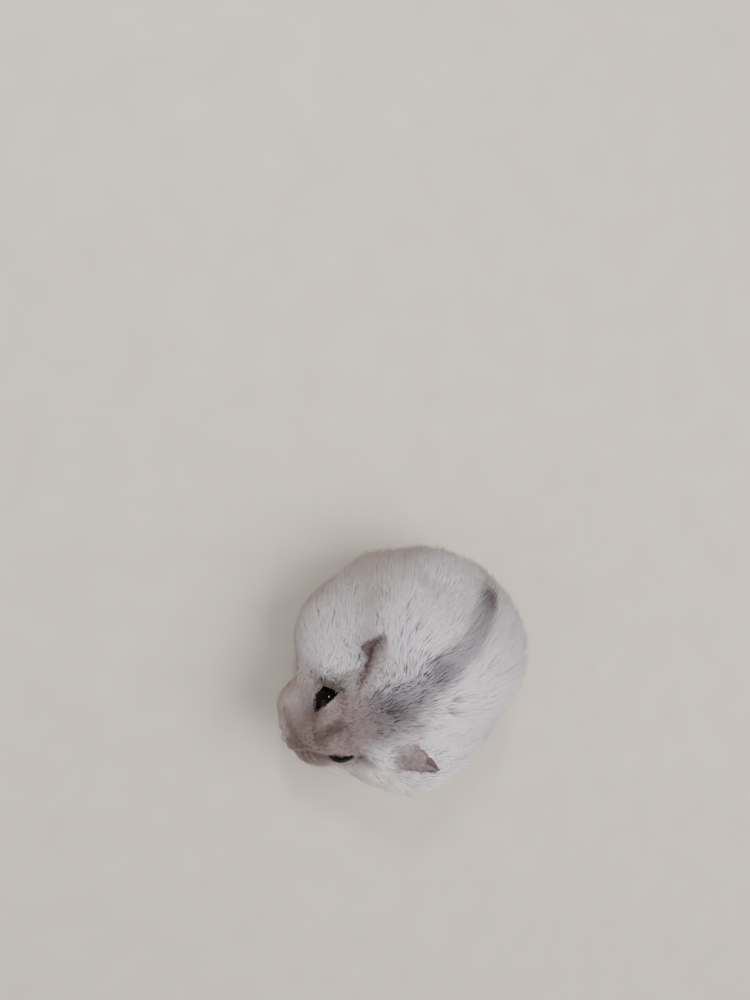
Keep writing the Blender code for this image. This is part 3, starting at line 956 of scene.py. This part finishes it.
# %% [markdown]
# ## Nose
# The bare nose pad is a small rounded wedge with two comma-shaped nostrils and a groove under it.
# It starts as a ball of the solid's size, and soft dents are pressed into it.

# %% The nose pad
NOSTRIL_ROUND, NOSTRIL_DEPTH, GROOVE_DEPTH = 0.36, 0.42, 0.16
NOSE_SHARE, NOSE_INWARD = 0.86, 0.5      # size next to the solid, and how far it sits in the muzzle
points, triangles = ball((0.0, 0.0, 0.0), (1.0, 1.0, 1.0), rings=40)
nose_half = NOSE_SHARE * (np.array(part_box("nose")[1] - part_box("nose")[0]) * 0.5 / MM)
shrink = np.ones(len(points))
for sign in (1.0, -1.0):
    nostril = unit(np.array([0.62, sign * 0.66, -0.12]))
    wing = unit(np.array([0.30, sign * 0.92, 0.10]))
    reach = np.minimum(np.arccos(np.clip(points @ nostril, -1, 1)),
                       1.35 * np.arccos(np.clip(points @ wing, -1, 1)) + 0.05)
    shrink -= NOSTRIL_DEPTH * np.exp(-(reach / NOSTRIL_ROUND) ** 4)
forward, sideways, upward = points.T
groove = np.exp(-(sideways / 0.12) ** 2) * ease(0.15, -0.5, upward) * ease(0.1, 0.6, forward)
shrink -= GROOVE_DEPTH * groove
pad = points * shrink[:, None] * nose_half.mean() * np.array([1.0, 1.08, 0.86])
nose = make_mesh("nose_pad", nose_place + (pad - np.array([NOSE_INWARD, 0.0, 0.0])) @ HEAD, triangles)
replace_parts(finish_piece(nose, nose_material), "nose")
print("nose half size", nose_half.round(2))

# %% [markdown]
# ## Claws
# A claw is a short curved cone of horn at the end of each toe. One could be modelled and copied
# from toe to toe, but a tapering tube along a curve can start wherever the solid has a toe.

# %% Claws
TOE_HALF, CLAW_SUNK = 0.55, 0.25      # half a toe's width, and how far a claw's root is in its toe
CLAW_LENGTH, CLAW_RADIUS, CLAW_DROP, CLAW_HEIGHT = 1.0, 0.22, 0.55, 0.75
TOES = {"fore": 4, "hind": 5}
FOOT_HEADING = {"forefoot_left": 8.0, "forefoot_right": -8.0,       # degrees to the left of ahead
                "hindfoot_left": 12.0, "hindfoot_right": -10.0}


def toe_tips(name):
    """Front end of each toe of a paw, found on its solid, and the way the paw points."""
    points, _ = node_part(name)
    heading = radians(FOOT_HEADING[name])
    ahead = np.array([cos(heading), sin(heading), 0.0])
    across = np.array([-sin(heading), cos(heading), 0.0])
    forward, sideways = points @ ahead, points @ across
    toes_only = forward > np.quantile(forward, 0.6)
    left, right = sideways[toes_only].max() - TOE_HALF, sideways[toes_only].min() + TOE_HALF
    tips = []
    for sideways_place in np.linspace(left, right, TOES[name[:4]]):
        front = forward[np.abs(sideways - sideways_place) < 0.45].max()
        under_toe = ahead * (front - CLAW_SUNK) + across * sideways_place
        tips.append(under_toe + np.array([0.0, 0.0, CLAW_HEIGHT]))
    return tips, ahead


step = np.linspace(0.0, 1.0, 7)
for name in FOOT_HEADING:
    tips, ahead = toe_tips(name)
    claws = []
    for tip in tips:
        path = tip + step[:, None] * CLAW_LENGTH * ahead
        path = path - np.array([0.0, 0.0, CLAW_DROP]) * (step ** 2)[:, None]
        claws.append(tube(path, CLAW_RADIUS * (1.0 - step) ** 0.7 + 0.03, sides=8))
    finish_piece(make_mesh("claws_" + name, *joined(claws)), claw_material)
    print(name, len(claws), "claws")

# %% [markdown]
# ## Whiskers
# Whiskers are long, stiff, tapering hairs in rows on the pads beside the nose, and they curve back
# and out. Tubes show their true thickness, which no flat card does. Each one is shortened until it
# stays within the solids' box.

# %% Whiskers
WHISKER_ROWS, WHISKERS_IN_ROW = 4, 5
WHISKER_RADIUS = 0.030
WHISKER_LENGTH, WHISKER_GROWTH = 6.0, 1.7      # of a row's first, and how much each next one gains
chance = np.random.default_rng(7)
low_limit, high_limit = (np.array(corner) / MM for corner in cad_box)
step = np.linspace(0.0, 1.0, 9)
for side, sign in (("left", 1.0), ("right", -1.0)):
    hairs = []
    for row in range(WHISKER_ROWS):
        for place in range(WHISKERS_IN_ROW):
            near = from_head((7.6 - 0.8 * place, sign * (2.8 + 0.45 * place), -1.6 - 0.75 * row))
            root = np.array(skin_tree.find_nearest(near.tolist())[0])
            outward = unit(np.array([0.15 - 0.16 * place, sign, 0.32 - 0.24 * row])
                           + 0.07 * chance.normal(size=3)) @ HEAD
            sweep = np.array([-0.42, 0.0, -0.10]) @ HEAD
            length = WHISKER_LENGTH + WHISKER_GROWTH * place
            for _ in range(12):
                path = root + length * (outward * step[:, None] + sweep * (step ** 2)[:, None])
                if np.all((path > low_limit + 0.1) & (path < high_limit - 0.1)):
                    break
                length *= 0.88
            hairs.append(tube(path, WHISKER_RADIUS * (1.0 - 0.85 * step), sides=4))
    finish_piece(make_mesh("whiskers_" + side, *joined(hairs)), whisker_material)
print("whiskers:", 2 * WHISKER_ROWS * WHISKERS_IN_ROW)

# %% [markdown]
# ## An unwrap for the coat
# Each tuft needs a small place of its own on a flat map. The map is an unwrap of a light copy of
# the skin, so it follows the body's shape: a tuft takes the spot where its root stands.

# %% Unwrap a light copy of the skin
CARRIER_SHARE = 0.05


def unwrapped(part):
    """Points, triangles and a flat place for every corner of every triangle."""
    carrier = make_mesh("carrier", *with_modifiers(part, ("DECIMATE", {"ratio": CARRIER_SHARE})))
    bpy.context.view_layer.objects.active = carrier
    carrier.select_set(True)
    bpy.ops.object.mode_set(mode="EDIT")
    bpy.ops.mesh.select_all(action="SELECT")
    bpy.ops.uv.smart_project(angle_limit=radians(66.0), island_margin=0.01)
    bpy.ops.object.mode_set(mode="OBJECT")
    points, triangles = arrays_of(carrier.data)
    corners = np.empty(len(carrier.data.loops) * 2)
    carrier.data.uv_layers.active.data.foreach_get("uv", corners)
    loops = np.empty(len(triangles) * 3, dtype=np.int32)
    carrier.data.loop_triangles.foreach_get("loops", loops)
    flat = corners.reshape(-1, 2)[loops.reshape(-1, 3)]
    discard(carrier)
    return points, triangles, flat


carrier_points, carrier_triangles, carrier_flat = unwrapped((skin_points, skin_triangles))
carrier_tree = tree_of((carrier_points, carrier_triangles))


def flat_places(roots):
    """Where each root falls on the unwrap."""
    result = np.empty((len(roots), 2))
    for index, root in enumerate(roots.tolist()):
        place, _, face, _ = carrier_tree.find_nearest(root)
        first, second, third = carrier_points[carrier_triangles[face]]
        across, up, spot = second - first, third - first, np.array(place) - first
        grid = np.array([[across @ across, across @ up], [across @ up, up @ up]])
        shares = np.linalg.solve(grid + 1e-12 * np.eye(2), np.array([across @ spot, up @ spot]))
        first, second, third = carrier_flat[face]
        result[index] = first + shares[0] * (second - first) + shares[1] * (third - first)
    return np.clip(result, 0.002, 0.998)


print("unwrap on", len(carrier_triangles), "triangles")

# %% [markdown]
# ## The lie of the hair
# Hair runs back from the nose over the face, back along the spine, and back and down over the
# flanks. Round an eye it turns aside. Every tuft takes its way from this one field, bent a little
# by slow ripples, which is what makes the coat part and swirl as a real one does.

# %% The way the hair runs
SWIRL = 0.22


def lie_of_hair(points, normals):
    """Unit direction along the skin in which hair lies at each point."""
    local = in_head(points)
    face = unit(local - np.array([11.0, 0.0, -1.5])) @ HEAD
    side = np.sign(points[:, 1] + 2.0)
    flank = ease(2.0, 15.0, np.abs(points[:, 1] + 2.0))
    rump = ease(-12.0, -20.0, points[:, 0])
    body = np.stack([-np.ones(len(points)), 0.25 * side * flank,
                     -0.12 - 0.55 * flank - 0.6 * rump], axis=1)
    away = np.linalg.norm(points - nose_place, axis=1)
    way = mix(face, unit(body), ease(13.0, 24.0, away))
    swirl = np.stack([ripple(points, 8.0, seed) for seed in (41, 42, 43)], axis=1)
    way = way + SWIRL * swirl * (0.4 * ease(6.0, 16.0, away) + 0.6 * ease(20.0, 30.0, away))[:, None]
    for eye in eye_places.values():
        ray = points - eye
        close = 1.0 - ease(EYE_RADIUS + 0.3, EYE_RADIUS + 2.6, np.linalg.norm(ray, axis=1))
        toward = np.minimum(np.sum(unit(way) * unit(ray), axis=1), 0.0)
        way = unit(way) + (close * (0.25 - toward))[:, None] * unit(ray)
    return unit(way - np.sum(way * normals, axis=1)[:, None] * normals)


# %% [markdown]
# ## Growing tufts
# A tuft is a bunch of hairs from almost one root, leaning together. Each hair is a closed
# three-sided sliver that rises from the skin, bends over and lies along the coat. The tuft's tip is
# trimmed to the outline found above, so hair fills exactly the depth it should, and it is kept
# clear of the skin, so no place looks bald. Blender's hair curves are easier to comb, but they have
# no faces, and slivers are a mesh like any other.

# %% Scatter roots over the skin
corner_points = skin_points[skin_triangles]
skin_area = 0.5 * np.linalg.norm(np.cross(corner_points[:, 1] - corner_points[:, 0],
                                          corner_points[:, 2] - corner_points[:, 0]), axis=1)


def at_roots(values, triangle, shares):
    """Values of the skin's points, blended at each root."""
    return np.einsum("nc...,nc->n...", values[skin_triangles[triangle]], shares)


def neighbours_together(places, cell=0.4):
    """An order in which close places follow each other: the bits of x, y and z taken in turn."""
    cells = ((places - places.min(axis=0)) / cell).astype(np.int64)
    code = np.zeros(len(places), dtype=np.int64)
    for bit in range(8):
        for axis in range(3):
            code |= ((cells[:, axis] >> bit) & 1) << (3 * bit + axis)
    return np.argsort(code, kind="stable")


skin_order = neighbours_together(corner_points.mean(axis=1))


def scatter(count, density, chance):
    """Evenly spread roots on the skin, more of them where the density (one value a point) is higher."""
    weight = (skin_area * density[skin_triangles].mean(axis=1))[skin_order]
    reached = np.cumsum(weight) / weight.sum()
    draw = (np.arange(count) + chance.uniform(size=count)) / count
    triangle = skin_order[np.minimum(np.searchsorted(reached, draw), len(reached) - 1)]
    shares = chance.dirichlet((1.0, 1.0, 1.0), size=count)
    roots = {"part": skin_part[skin_triangles[triangle, 0]]}
    for key, values in (("point", skin_points), ("normal", skin_normals), ("depth", skin_depth),
                        ("bare", skin_bare), ("rim", skin_rim), ("row", skin_row)):
        roots[key] = at_roots(values, triangle, shares)
    roots["normal"] = unit(roots["normal"])
    roots["from_nose"] = np.linalg.norm(roots["point"] - nose_place, axis=1)
    return roots


def chosen(roots, which):
    """Only some of the roots."""
    return {key: values[which] for key, values in roots.items()}


# %% Shape hairs as slivers
HAIR_STEPS = np.array([0.0, 0.5, 1.0])      # root, middle and tip of a hair, as shares of its length
RING_WIDTHS = (0.8, 1.0)                    # a hair's width at root and middle; it ends in a point
RINGS, SIDES = len(RING_WIDTHS), 3
TUFT_PATCH = 0.003                          # size of a tuft's place on the flat map
FLOOR_GAP = 0.06                            # no hair comes nearer to the floor than this


def sliver_triangles():
    """Triangles of one sliver: rings of three points, then a tip, with its root closed."""
    result = [(0, 2, 1)]
    for ring in range(RINGS):
        for corner in range(SIDES):
            here, beside = SIDES * ring + corner, SIDES * ring + (corner + 1) % SIDES
            if ring < RINGS - 1:
                result += [(here, beside, beside + SIDES), (here, beside + SIDES, here + SIDES)]
            else:
                result.append((here, beside, SIDES * RINGS))
    return np.array(result)


def trimmed_rise(roots, way, length, style, chance):
    """How far each tuft's tip rises from the skin's plane, so that it ends where it should."""
    rise = style["lift"](roots)
    if style["stand"] is None:
        return rise
    run = np.sqrt(np.maximum(length ** 2 - rise ** 2, 0.04))
    tip = roots["point"] + roots["normal"] * rise[:, None] + way * run[:, None]
    wanted = style["stand"](roots) + style["jitter"] * chance.normal(size=len(length))
    change = np.maximum(wanted - heights_over(outline_tree, tip),
                        style["clear"] - heights_over(skin_tree, tip))
    return np.clip(rise + change, -0.5 * length, 0.72 * length)


def hair_lines(point, normal, way, rise, run, style, chance):
    """Root, middle and tip of hairs that stand round their tuft's root and fan out to their tips."""
    count, across = len(point), np.cross(normal, way)
    offset = (chance.normal(size=count) * style["spread"])[:, None] * across
    offset += (chance.normal(size=count) * style["spread"])[:, None] * way
    fan = (chance.normal(size=count) * style["fan"])[:, None] * across
    rise = rise * chance.uniform(0.86, 1.05, count)
    run = run * chance.uniform(0.75, 1.12, count)
    lines = []
    for step in HAIR_STEPS:
        up = rise * (1.0 - (1.0 - step) ** 1.9) - 0.25 * (1.0 - step)
        forward = run * step ** 1.15
        lines.append(point + normal * up[:, None] + way * forward[:, None]
                     + offset * (1.0 - style["gather"] * step) + fan * step ** 1.5)
    return np.stack(lines, axis=1)


def slivers(lines, normal, width):
    """Points of a thin three-sided sliver round each line."""
    along = unit(lines[:, -1] - lines[:, 0])
    side = unit(np.cross(along, normal + 1e-4))
    over = np.cross(along, side)
    points = np.empty((len(lines), SIDES * RINGS + 1, 3))
    for ring, share in enumerate(RING_WIDTHS):
        half = 0.5 * width * share
        for corner in range(SIDES):
            turn = 2.0 * pi * corner / SIDES
            points[:, SIDES * ring + corner] = lines[:, ring] + half[:, None] * (
                cos(turn) * side + 0.7 * sin(turn) * over)
    points[:, -1] = lines[:, -1]
    return points


def grow(roots, way, style, chance):
    """Points, triangles, flat places and colours of every hair of the tufts at the roots."""
    tufts, hairs = len(roots["point"]), style["hairs"]
    point, normal = roots["point"], roots["normal"]
    nearest_eye = np.min([np.linalg.norm(point - eye, axis=1) for eye in eye_places.values()], axis=0)
    length = style["length"](roots) * chance.uniform(0.85, 1.15, tufts)
    length *= 0.45 + 0.55 * ease(EYE_RADIUS + 0.2, EYE_RADIUS + 2.0, nearest_eye)
    rise = trimmed_rise(roots, way, length, style, chance)
    run = np.sqrt(np.maximum(length ** 2 - rise ** 2, (0.4 * length) ** 2))
    tone = 1.0 + style["tone"] * chance.normal(size=tufts)
    tip_place = point + 0.6 * run[:, None] * way + 0.9 * rise[:, None] * normal
    tip_colour = style["colour"](roots, tip_place)
    brightness = tip_colour.mean(axis=1, keepdims=True)
    root_colour = mix(tip_colour, UNDERCOAT * brightness * 1.25, style["under"])

    every = np.repeat(np.arange(tufts), hairs)
    lines = hair_lines(*(values[every] for values in (point, normal, way, rise, run)), style, chance)
    points = slivers(lines, normal[every], style["width"] * chance.uniform(0.8, 1.25, len(every)))
    share = np.append(np.repeat(HAIR_STEPS[:-1], SIDES), 1.0)
    colours = mix(root_colour[every][:, None], tip_colour[every][:, None],
                  np.broadcast_to(ease(0.05, 0.6, share), (len(every), len(share))))
    colours = colours * tone[every][:, None, None]
    spot = np.stack([np.append(np.tile((-0.5, 0.0, 0.5), RINGS), 0.0), share - 0.5], axis=1)
    spots = flat_places(point)[every][:, None] + TUFT_PATCH * spot
    triangles = sliver_triangles() + (np.arange(len(every)) * (SIDES * RINGS + 1))[:, None, None]
    return points.reshape(-1, 3), triangles.reshape(-1, 3), spots.reshape(-1, 2), colours.reshape(-1, 3)


def coat_piece(name, *layers):
    """One piece of the coat, from one or more growths, with its flat map and its colours: markings and
    painted shade.
    """
    points, triangles = joined([layer[:2] for layer in layers])
    spots, colours = (np.concatenate([layer[item] for layer in layers]) for item in (2, 3))
    points[:, 2] = np.maximum(points[:, 2], FLOOR_GAP)
    piece = make_mesh(name, points, triangles)
    flat_map = piece.data.uv_layers.new(name="OFBake")
    flat_map.data.foreach_set("uv", spots[triangles.ravel()].astype(np.float32).ravel())
    store_colour(piece, "marking_and_shade", colours)
    finish_piece(piece, hair_material)
    print(name, len(triangles), "triangles")
    return len(triangles)


# %% [markdown]
# ## The coat, region by region
# A coat isn't equally thick everywhere: it thins out to nothing at the lids, the nose and the
# lips, and it is sparser underneath. A share for every point of the skin says how much grows there.
# The body's coat is divided into pieces by where it grows, so that no piece is too heavy to handle.

# %% Where hair grows thickly, thinly or not at all
away_from_nose = np.linalg.norm(skin_points - nose_place, axis=1)
bare = np.zeros(len(skin_points))
for side in ("left", "right"):
    distance, share, _ = seen_from_eye(skin_points, side)
    bare = np.maximum(bare, (distance < EYE_RADIUS + 2.0) * (1.0 - ease(1.05, 1.10, share)))
bare = np.maximum(bare, away_from_nose < 1.05)
bare = np.maximum(bare, 0.9 * near_mouth(skin_points, 0.35))
on_body = (skin_part == 0) * (1.0 - bare) * (0.5 + 0.5 * ease(5.0, 10.0, skin_points[:, 2]))
FULL = 1.0      # share of the tufts that are grown
SECTORS = ("coat_belly_left", "coat_belly_right", "coat_nape_left", "coat_nape_right",
           "coat_rump_left", "coat_rump_right", "coat_flank_left", "coat_flank_right")


def sector_of(place):
    """Number of the region of the body's coat that each root is in."""
    x, y, z = place.T
    low, nape, rump = z < 9.0, x > 3.0, x < -11.0
    tests = [low & (y > -2.0), low, nape & (y > -4.0), nape, rump & (y > -1.0), rump, y > -2.0]
    return np.select(tests, range(len(tests)), len(tests))


def planted(count, density, stray, chance):
    """Roots on the skin and the way each tuft leans: the lie of the hair, straying a little."""
    roots = scatter(int(count * FULL), density, chance)
    way = lie_of_hair(roots["point"], roots["normal"])
    return roots, unit(way + stray * chance.normal(size=way.shape))


# %% [markdown]
# ## The body's coat
# The body wears two layers, as in life: dense short underfur that fills the depth, and longer soft
# top hair that makes the surface. A few darker guard hairs show on the crown and along the stripe.
# One function grows them all, and a style of named values says how they differ.


# %% Underfur and top hair of the body
def body_length(roots):
    """Hair length on the body: longest on the back and flanks."""
    return np.interp(roots["from_nose"], (9.0, 15.0, 24.0, 34.0), (1.6, 2.6, 4.8, 6.2)) * (
        0.6 + 0.4 * ease(2.0, 12.0, roots["point"][:, 2]))


# For each kind of hair: how many in a tuft, their length and width, how widely they stand and fan
# out, how far tips end over the outline (stand) and how unevenly (jitter), how far they keep clear
# of the skin, how far a tuft lifts before it is trimmed, and how its colour varies and fades down.
top_style = {"hairs": 12, "length": body_length, "width": 0.088, "spread": 0.48, "gather": 0.0,
             "fan": 0.20, "jitter": 0.04, "under": 0.30, "tone": 0.022, "clear": 0.35, "stray": 0.045,
             "stand": lambda roots: 0.0, "lift": lambda roots: 0.9 * roots["depth"],
             "colour": lambda roots, tips: coat_colour(tips)}
under_style = dict(top_style, stray=0.12, hairs=7, length=lambda roots: 0.66 * body_length(roots),
                   width=0.19, spread=0.42, stand=lambda roots: -0.24 * roots["depth"], clear=0.25,
                   under=0.45, lift=lambda roots: 0.5 * roots["depth"])
guard_style = dict(top_style, hairs=3, width=0.07, spread=0.5, fan=0.2, jitter=0.2, under=0.0,
                   colour=lambda roots, tips: 0.5 * coat_colour(tips))
behind_face = ease(11.5, 15.5, away_from_nose) * (1.7 - 0.7 * ease(15.0, 26.0, away_from_nose))
on_crown = blob(in_head(skin_points), (-9.5, -2.0, 11.0), (6.5, 6.0, 5.0))
on_crown = on_crown + 0.25 * stripe_strength(skin_points)
layers = []
for style, count, place, seed in ((top_style, 5200, behind_face, 100),
                                  (under_style, 4000, behind_face, 150),
                                  (guard_style, 120, behind_face * on_crown, 170)):
    roots, way = planted(count, on_body * place, style["stray"], np.random.default_rng(seed))
    layers.append((roots, way, style, sector_of(roots["point"])))
total = 0
for number, name in enumerate(SECTORS):
    grown = []
    for roots, way, style, sector in layers:
        here = sector == number
        grown.append(grow(chosen(roots, here), way[here], style, np.random.default_rng(200 + number)))
    total += coat_piece(name, *grown)

# %% [markdown]
# ## Short hair of the face
# A face wears sleek hair, one millimetre long at the nose and three on the cheeks. One layer of
# finer tufts covers it, and behind the cheeks it mingles with the body's coat, so that no border
# shows.

# %% Short hair of the face
LOWER_FACE = -1.5      # this height in the head's frame parts the upper piece from the lower ones
face_style = dict(top_style, hairs=10, width=0.075, spread=0.27, gather=0.1, fan=0.14, under=0.1,
                  clear=0.12, stray=0.08, lift=lambda roots: 0.8 * roots["depth"],
                  length=lambda roots: np.interp(roots["from_nose"], (2.0, 8.0, 18.0), (0.9, 1.9, 3.2)))
chance = np.random.default_rng(300)
on_face = on_body * (1.0 - ease(14.0, 18.5, away_from_nose))
roots, way = planted(4200, on_face, face_style["stray"], chance)
_, leftward, upward = in_head(roots["point"]).T
lower = upward < LOWER_FACE
for name, here in (("coat_face_upper", ~lower), ("coat_face_lower_left", lower & (leftward > 0.0)),
                   ("coat_face_lower_right", lower & (leftward <= 0.0))):
    total += coat_piece(name, grow(chosen(roots, here), way[here], face_style, chance))

# %% [markdown]
# ## Down on ears, paws and tail
# The back of an ear is covered with fine down, and its hollow has hardly any. Paws and tail wear
# very short hair, and soles none. All of it keeps a small lift and isn't trimmed, because the
# outline leaves such small parts out.

# %% Down on the ears, hair on the paws and tail
sole = (skin_points[:, 2] < 0.7) & ~on_ears
small_density = (skin_part > 0) * (1.0 - 0.96 * skin_bare) * (1.0 - sole) * (1.0 + 2.0 * on_ears)
chance = np.random.default_rng(400)
roots = scatter(int(2300 * FULL), small_density, chance)


def way_on_small_parts(roots):
    """Hair on an ear runs to its tip, on a paw to the toes, on the tail backward."""
    way = np.tile((1.0, 0.0, -0.1), (len(roots["point"]), 1))
    for number, name in enumerate(APPENDAGES, start=1):
        here = roots["part"] == number
        if name.startswith("ear"):
            way[here] = EARS[name[4:]]["along"]
        elif name == "tail":
            way[here] = (-1.0, 0.0, -0.1)
    along = way - np.sum(way * roots["normal"], axis=1)[:, None] * roots["normal"]
    return unit(along + 0.12 * np.random.default_rng(410).normal(size=along.shape))


def small_colour(roots, tips):
    """Colour of the down: grey backs of the ears, brown at their front rims, white paws."""
    row, rim = roots["row"], roots["rim"]
    left_ear, right_ear = roots["part"] == LEFT_EAR, roots["part"] == RIGHT_EAR
    dark_roots = ease(-0.2, 0.8, ripple(tips, 3.0, 51))
    # The right ear's slit between the flap's edge and the lobe is darkened: painted shadow over darker
    # hair.
    slit = ease(0.15, 0.3, row) * (1.0 - ease(0.5, 0.65, row))
    slit *= 1.0 - ease(0.2, 0.8, rim)
    colour = np.tile(CHEEK_WHITE, (len(tips), 1))
    colour = mix(colour, 0.78 * EAR_BACK, left_ear * (0.6 + 0.4 * ease(0.1, 0.4, row)))
    colour = mix(colour, EAR_BACK, right_ear * (0.95 - 0.5 * ease(0.6, 1.8, rim)))
    colour = mix(colour, FOREHEAD_DARK, 0.6 * left_ear * dark_roots * (1.0 - ease(0.1, 0.4, row)))
    colour = mix(colour, EAR_BROWN,
                 0.85 * right_ear * (1.0 - ease(0.25, 0.5, row)) * (1.0 - ease(0.6, 1.6, rim)))
    colour = mix(colour, EAR_DEEP_SHADE, 0.7 * right_ear * slit)
    return mix(colour, EAR_INSIDE, 0.7 * roots["bare"])


def small_length(roots):
    """Length of the down: short on paws and tail, longest at the ears' roots and the body's edge."""
    right_ear, off_paws = roots["part"] == RIGHT_EAR, roots["part"] <= RIGHT_EAR
    return 0.8 + (0.5 * right_ear + 0.9 * off_paws * (1.0 - ease(0.05, 0.45, roots["row"])))


small_style = dict(face_style, hairs=6, width=0.062, spread=0.18, fan=0.10, stand=None, under=0.2,
                   tone=0.04, length=small_length, colour=small_colour,
                   lift=lambda roots: 0.15 + 0.3 * (roots["part"] == RIGHT_EAR) * (1.0 - roots["bare"]))
total += coat_piece("coat_ears_and_paws", grow(roots, way_on_small_parts(roots), small_style, chance))
print("coat in all:", total, "triangles")

# %% [markdown]
# ## Floor
# The animal crouches on a plain pale floor of two large triangles. The floor is staged: it is
# there for the render and isn't a piece of the animal.

# %% Floor
FLOOR_HALF, FLOOR_DROP = 2500.0, 0.02
corners = np.array([[-1.0, -1.0, 0.0], [1.0, -1.0, 0.0], [1.0, 1.0, 0.0], [-1.0, 1.0, 0.0]])
floor = make_mesh("floor", FLOOR_HALF * corners - np.array([0.0, 0.0, FLOOR_DROP]),
                  np.array([[0, 1, 2], [0, 2, 3]]))
floor_material, _ = coloured_material(
    "floor_card", srgb(206, 196, 184), srgb(200, 190, 178), 9.0, (0.75, 0.9), 0.05)
floor.data.materials.append(floor_material)
floor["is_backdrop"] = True
print("floor:", 2.0 * FLOOR_HALF, "mm wide")

# %% [markdown]
# ## Light
# Pale fur needs broad soft light that still has a direction. A large lamp high on the animal's
# left gives the form, a weaker one in front on its right opens the shadows, and a pale world fills
# the rest. One small lamp puts the glint in the eye.


# %% Light
def lamp(name, place, target, size, power, colour=(1.0, 1.0, 1.0)):
    """A square soft lamp; place, target and size in millimetres, power in watts."""
    data = bpy.data.lights.new(name, "AREA")
    data.size = size * MM
    data.energy = power
    data.color = colour
    made = bpy.data.objects.new(name, data)
    made.location = Vector(place) * MM
    made.rotation_euler = (Vector(target) - Vector(place)).to_track_quat("-Z", "Y").to_euler()
    bpy.context.scene.collection.objects.link(made)


MIDDLE = (0.0, 0.0, 15.0)
GLINT_PLACE = (-110.0, -214.0, 231.0)     # from here a lamp's reflection falls on the right eye
lamp("key", (-160.0, 170.0, 420.0), MIDDLE, 400.0, 2.7, (1.0, 0.98, 0.96))
lamp("fill", (260.0, -260.0, 260.0), MIDDLE, 300.0, 0.48, (0.98, 0.98, 1.0))
lamp("glint", GLINT_PLACE, eye_places["right"].tolist(), 38.0, 0.45)
world = bpy.data.worlds.new("studio")
world.use_nodes = True
set_inputs(world.node_tree.nodes["Background"], {"Color": (0.97, 0.96, 1.0, 1.0), "Strength": 0.48})
bpy.context.scene.world = world
print("lamps:", len(bpy.data.lights))

# %% [markdown]
# ## Camera
# The view is steeply down from the animal's right and from close by, so the head looms a little.
# Three values are enough to place a camera: where it stands, where it aims, and which way is right
# in the view.

# %% Camera
CAMERA_PLACE = np.array([-1.28, -72.07, 143.02])
CAMERA_AIM = np.array([-22.23, -23.53, 0.0])      # where the middle of the view meets the floor
CAMERA_RIGHT = np.array([-0.677, 0.661, 0.323])   # the way the view's right-hand side points
LENS, FILM = 26.0, 36.0

camera_data = bpy.data.cameras.new("camera")
camera_data.lens = LENS
camera_data.sensor_width = FILM
camera_data.clip_start = 0.005
camera = bpy.data.objects.new("camera", camera_data)
back = unit(CAMERA_PLACE - CAMERA_AIM)
right = unit(CAMERA_RIGHT - CAMERA_RIGHT.dot(back) * back)
axes = Matrix(np.stack([right, np.cross(back, right), back], axis=1).tolist())
camera.matrix_world = Matrix.Translation(Vector(CAMERA_PLACE) * MM) @ axes.to_4x4()
bpy.context.scene.collection.objects.link(camera)
bpy.context.scene.camera = camera
print("camera stands", CAMERA_PLACE, "mm from the origin")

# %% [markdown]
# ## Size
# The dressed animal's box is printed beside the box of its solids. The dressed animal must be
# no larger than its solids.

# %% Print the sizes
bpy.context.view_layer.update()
for title, box in (("solids", cad_box), ("dressed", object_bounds())):
    print(title, [[round(value / MM, 2) for value in corner] for corner in box])
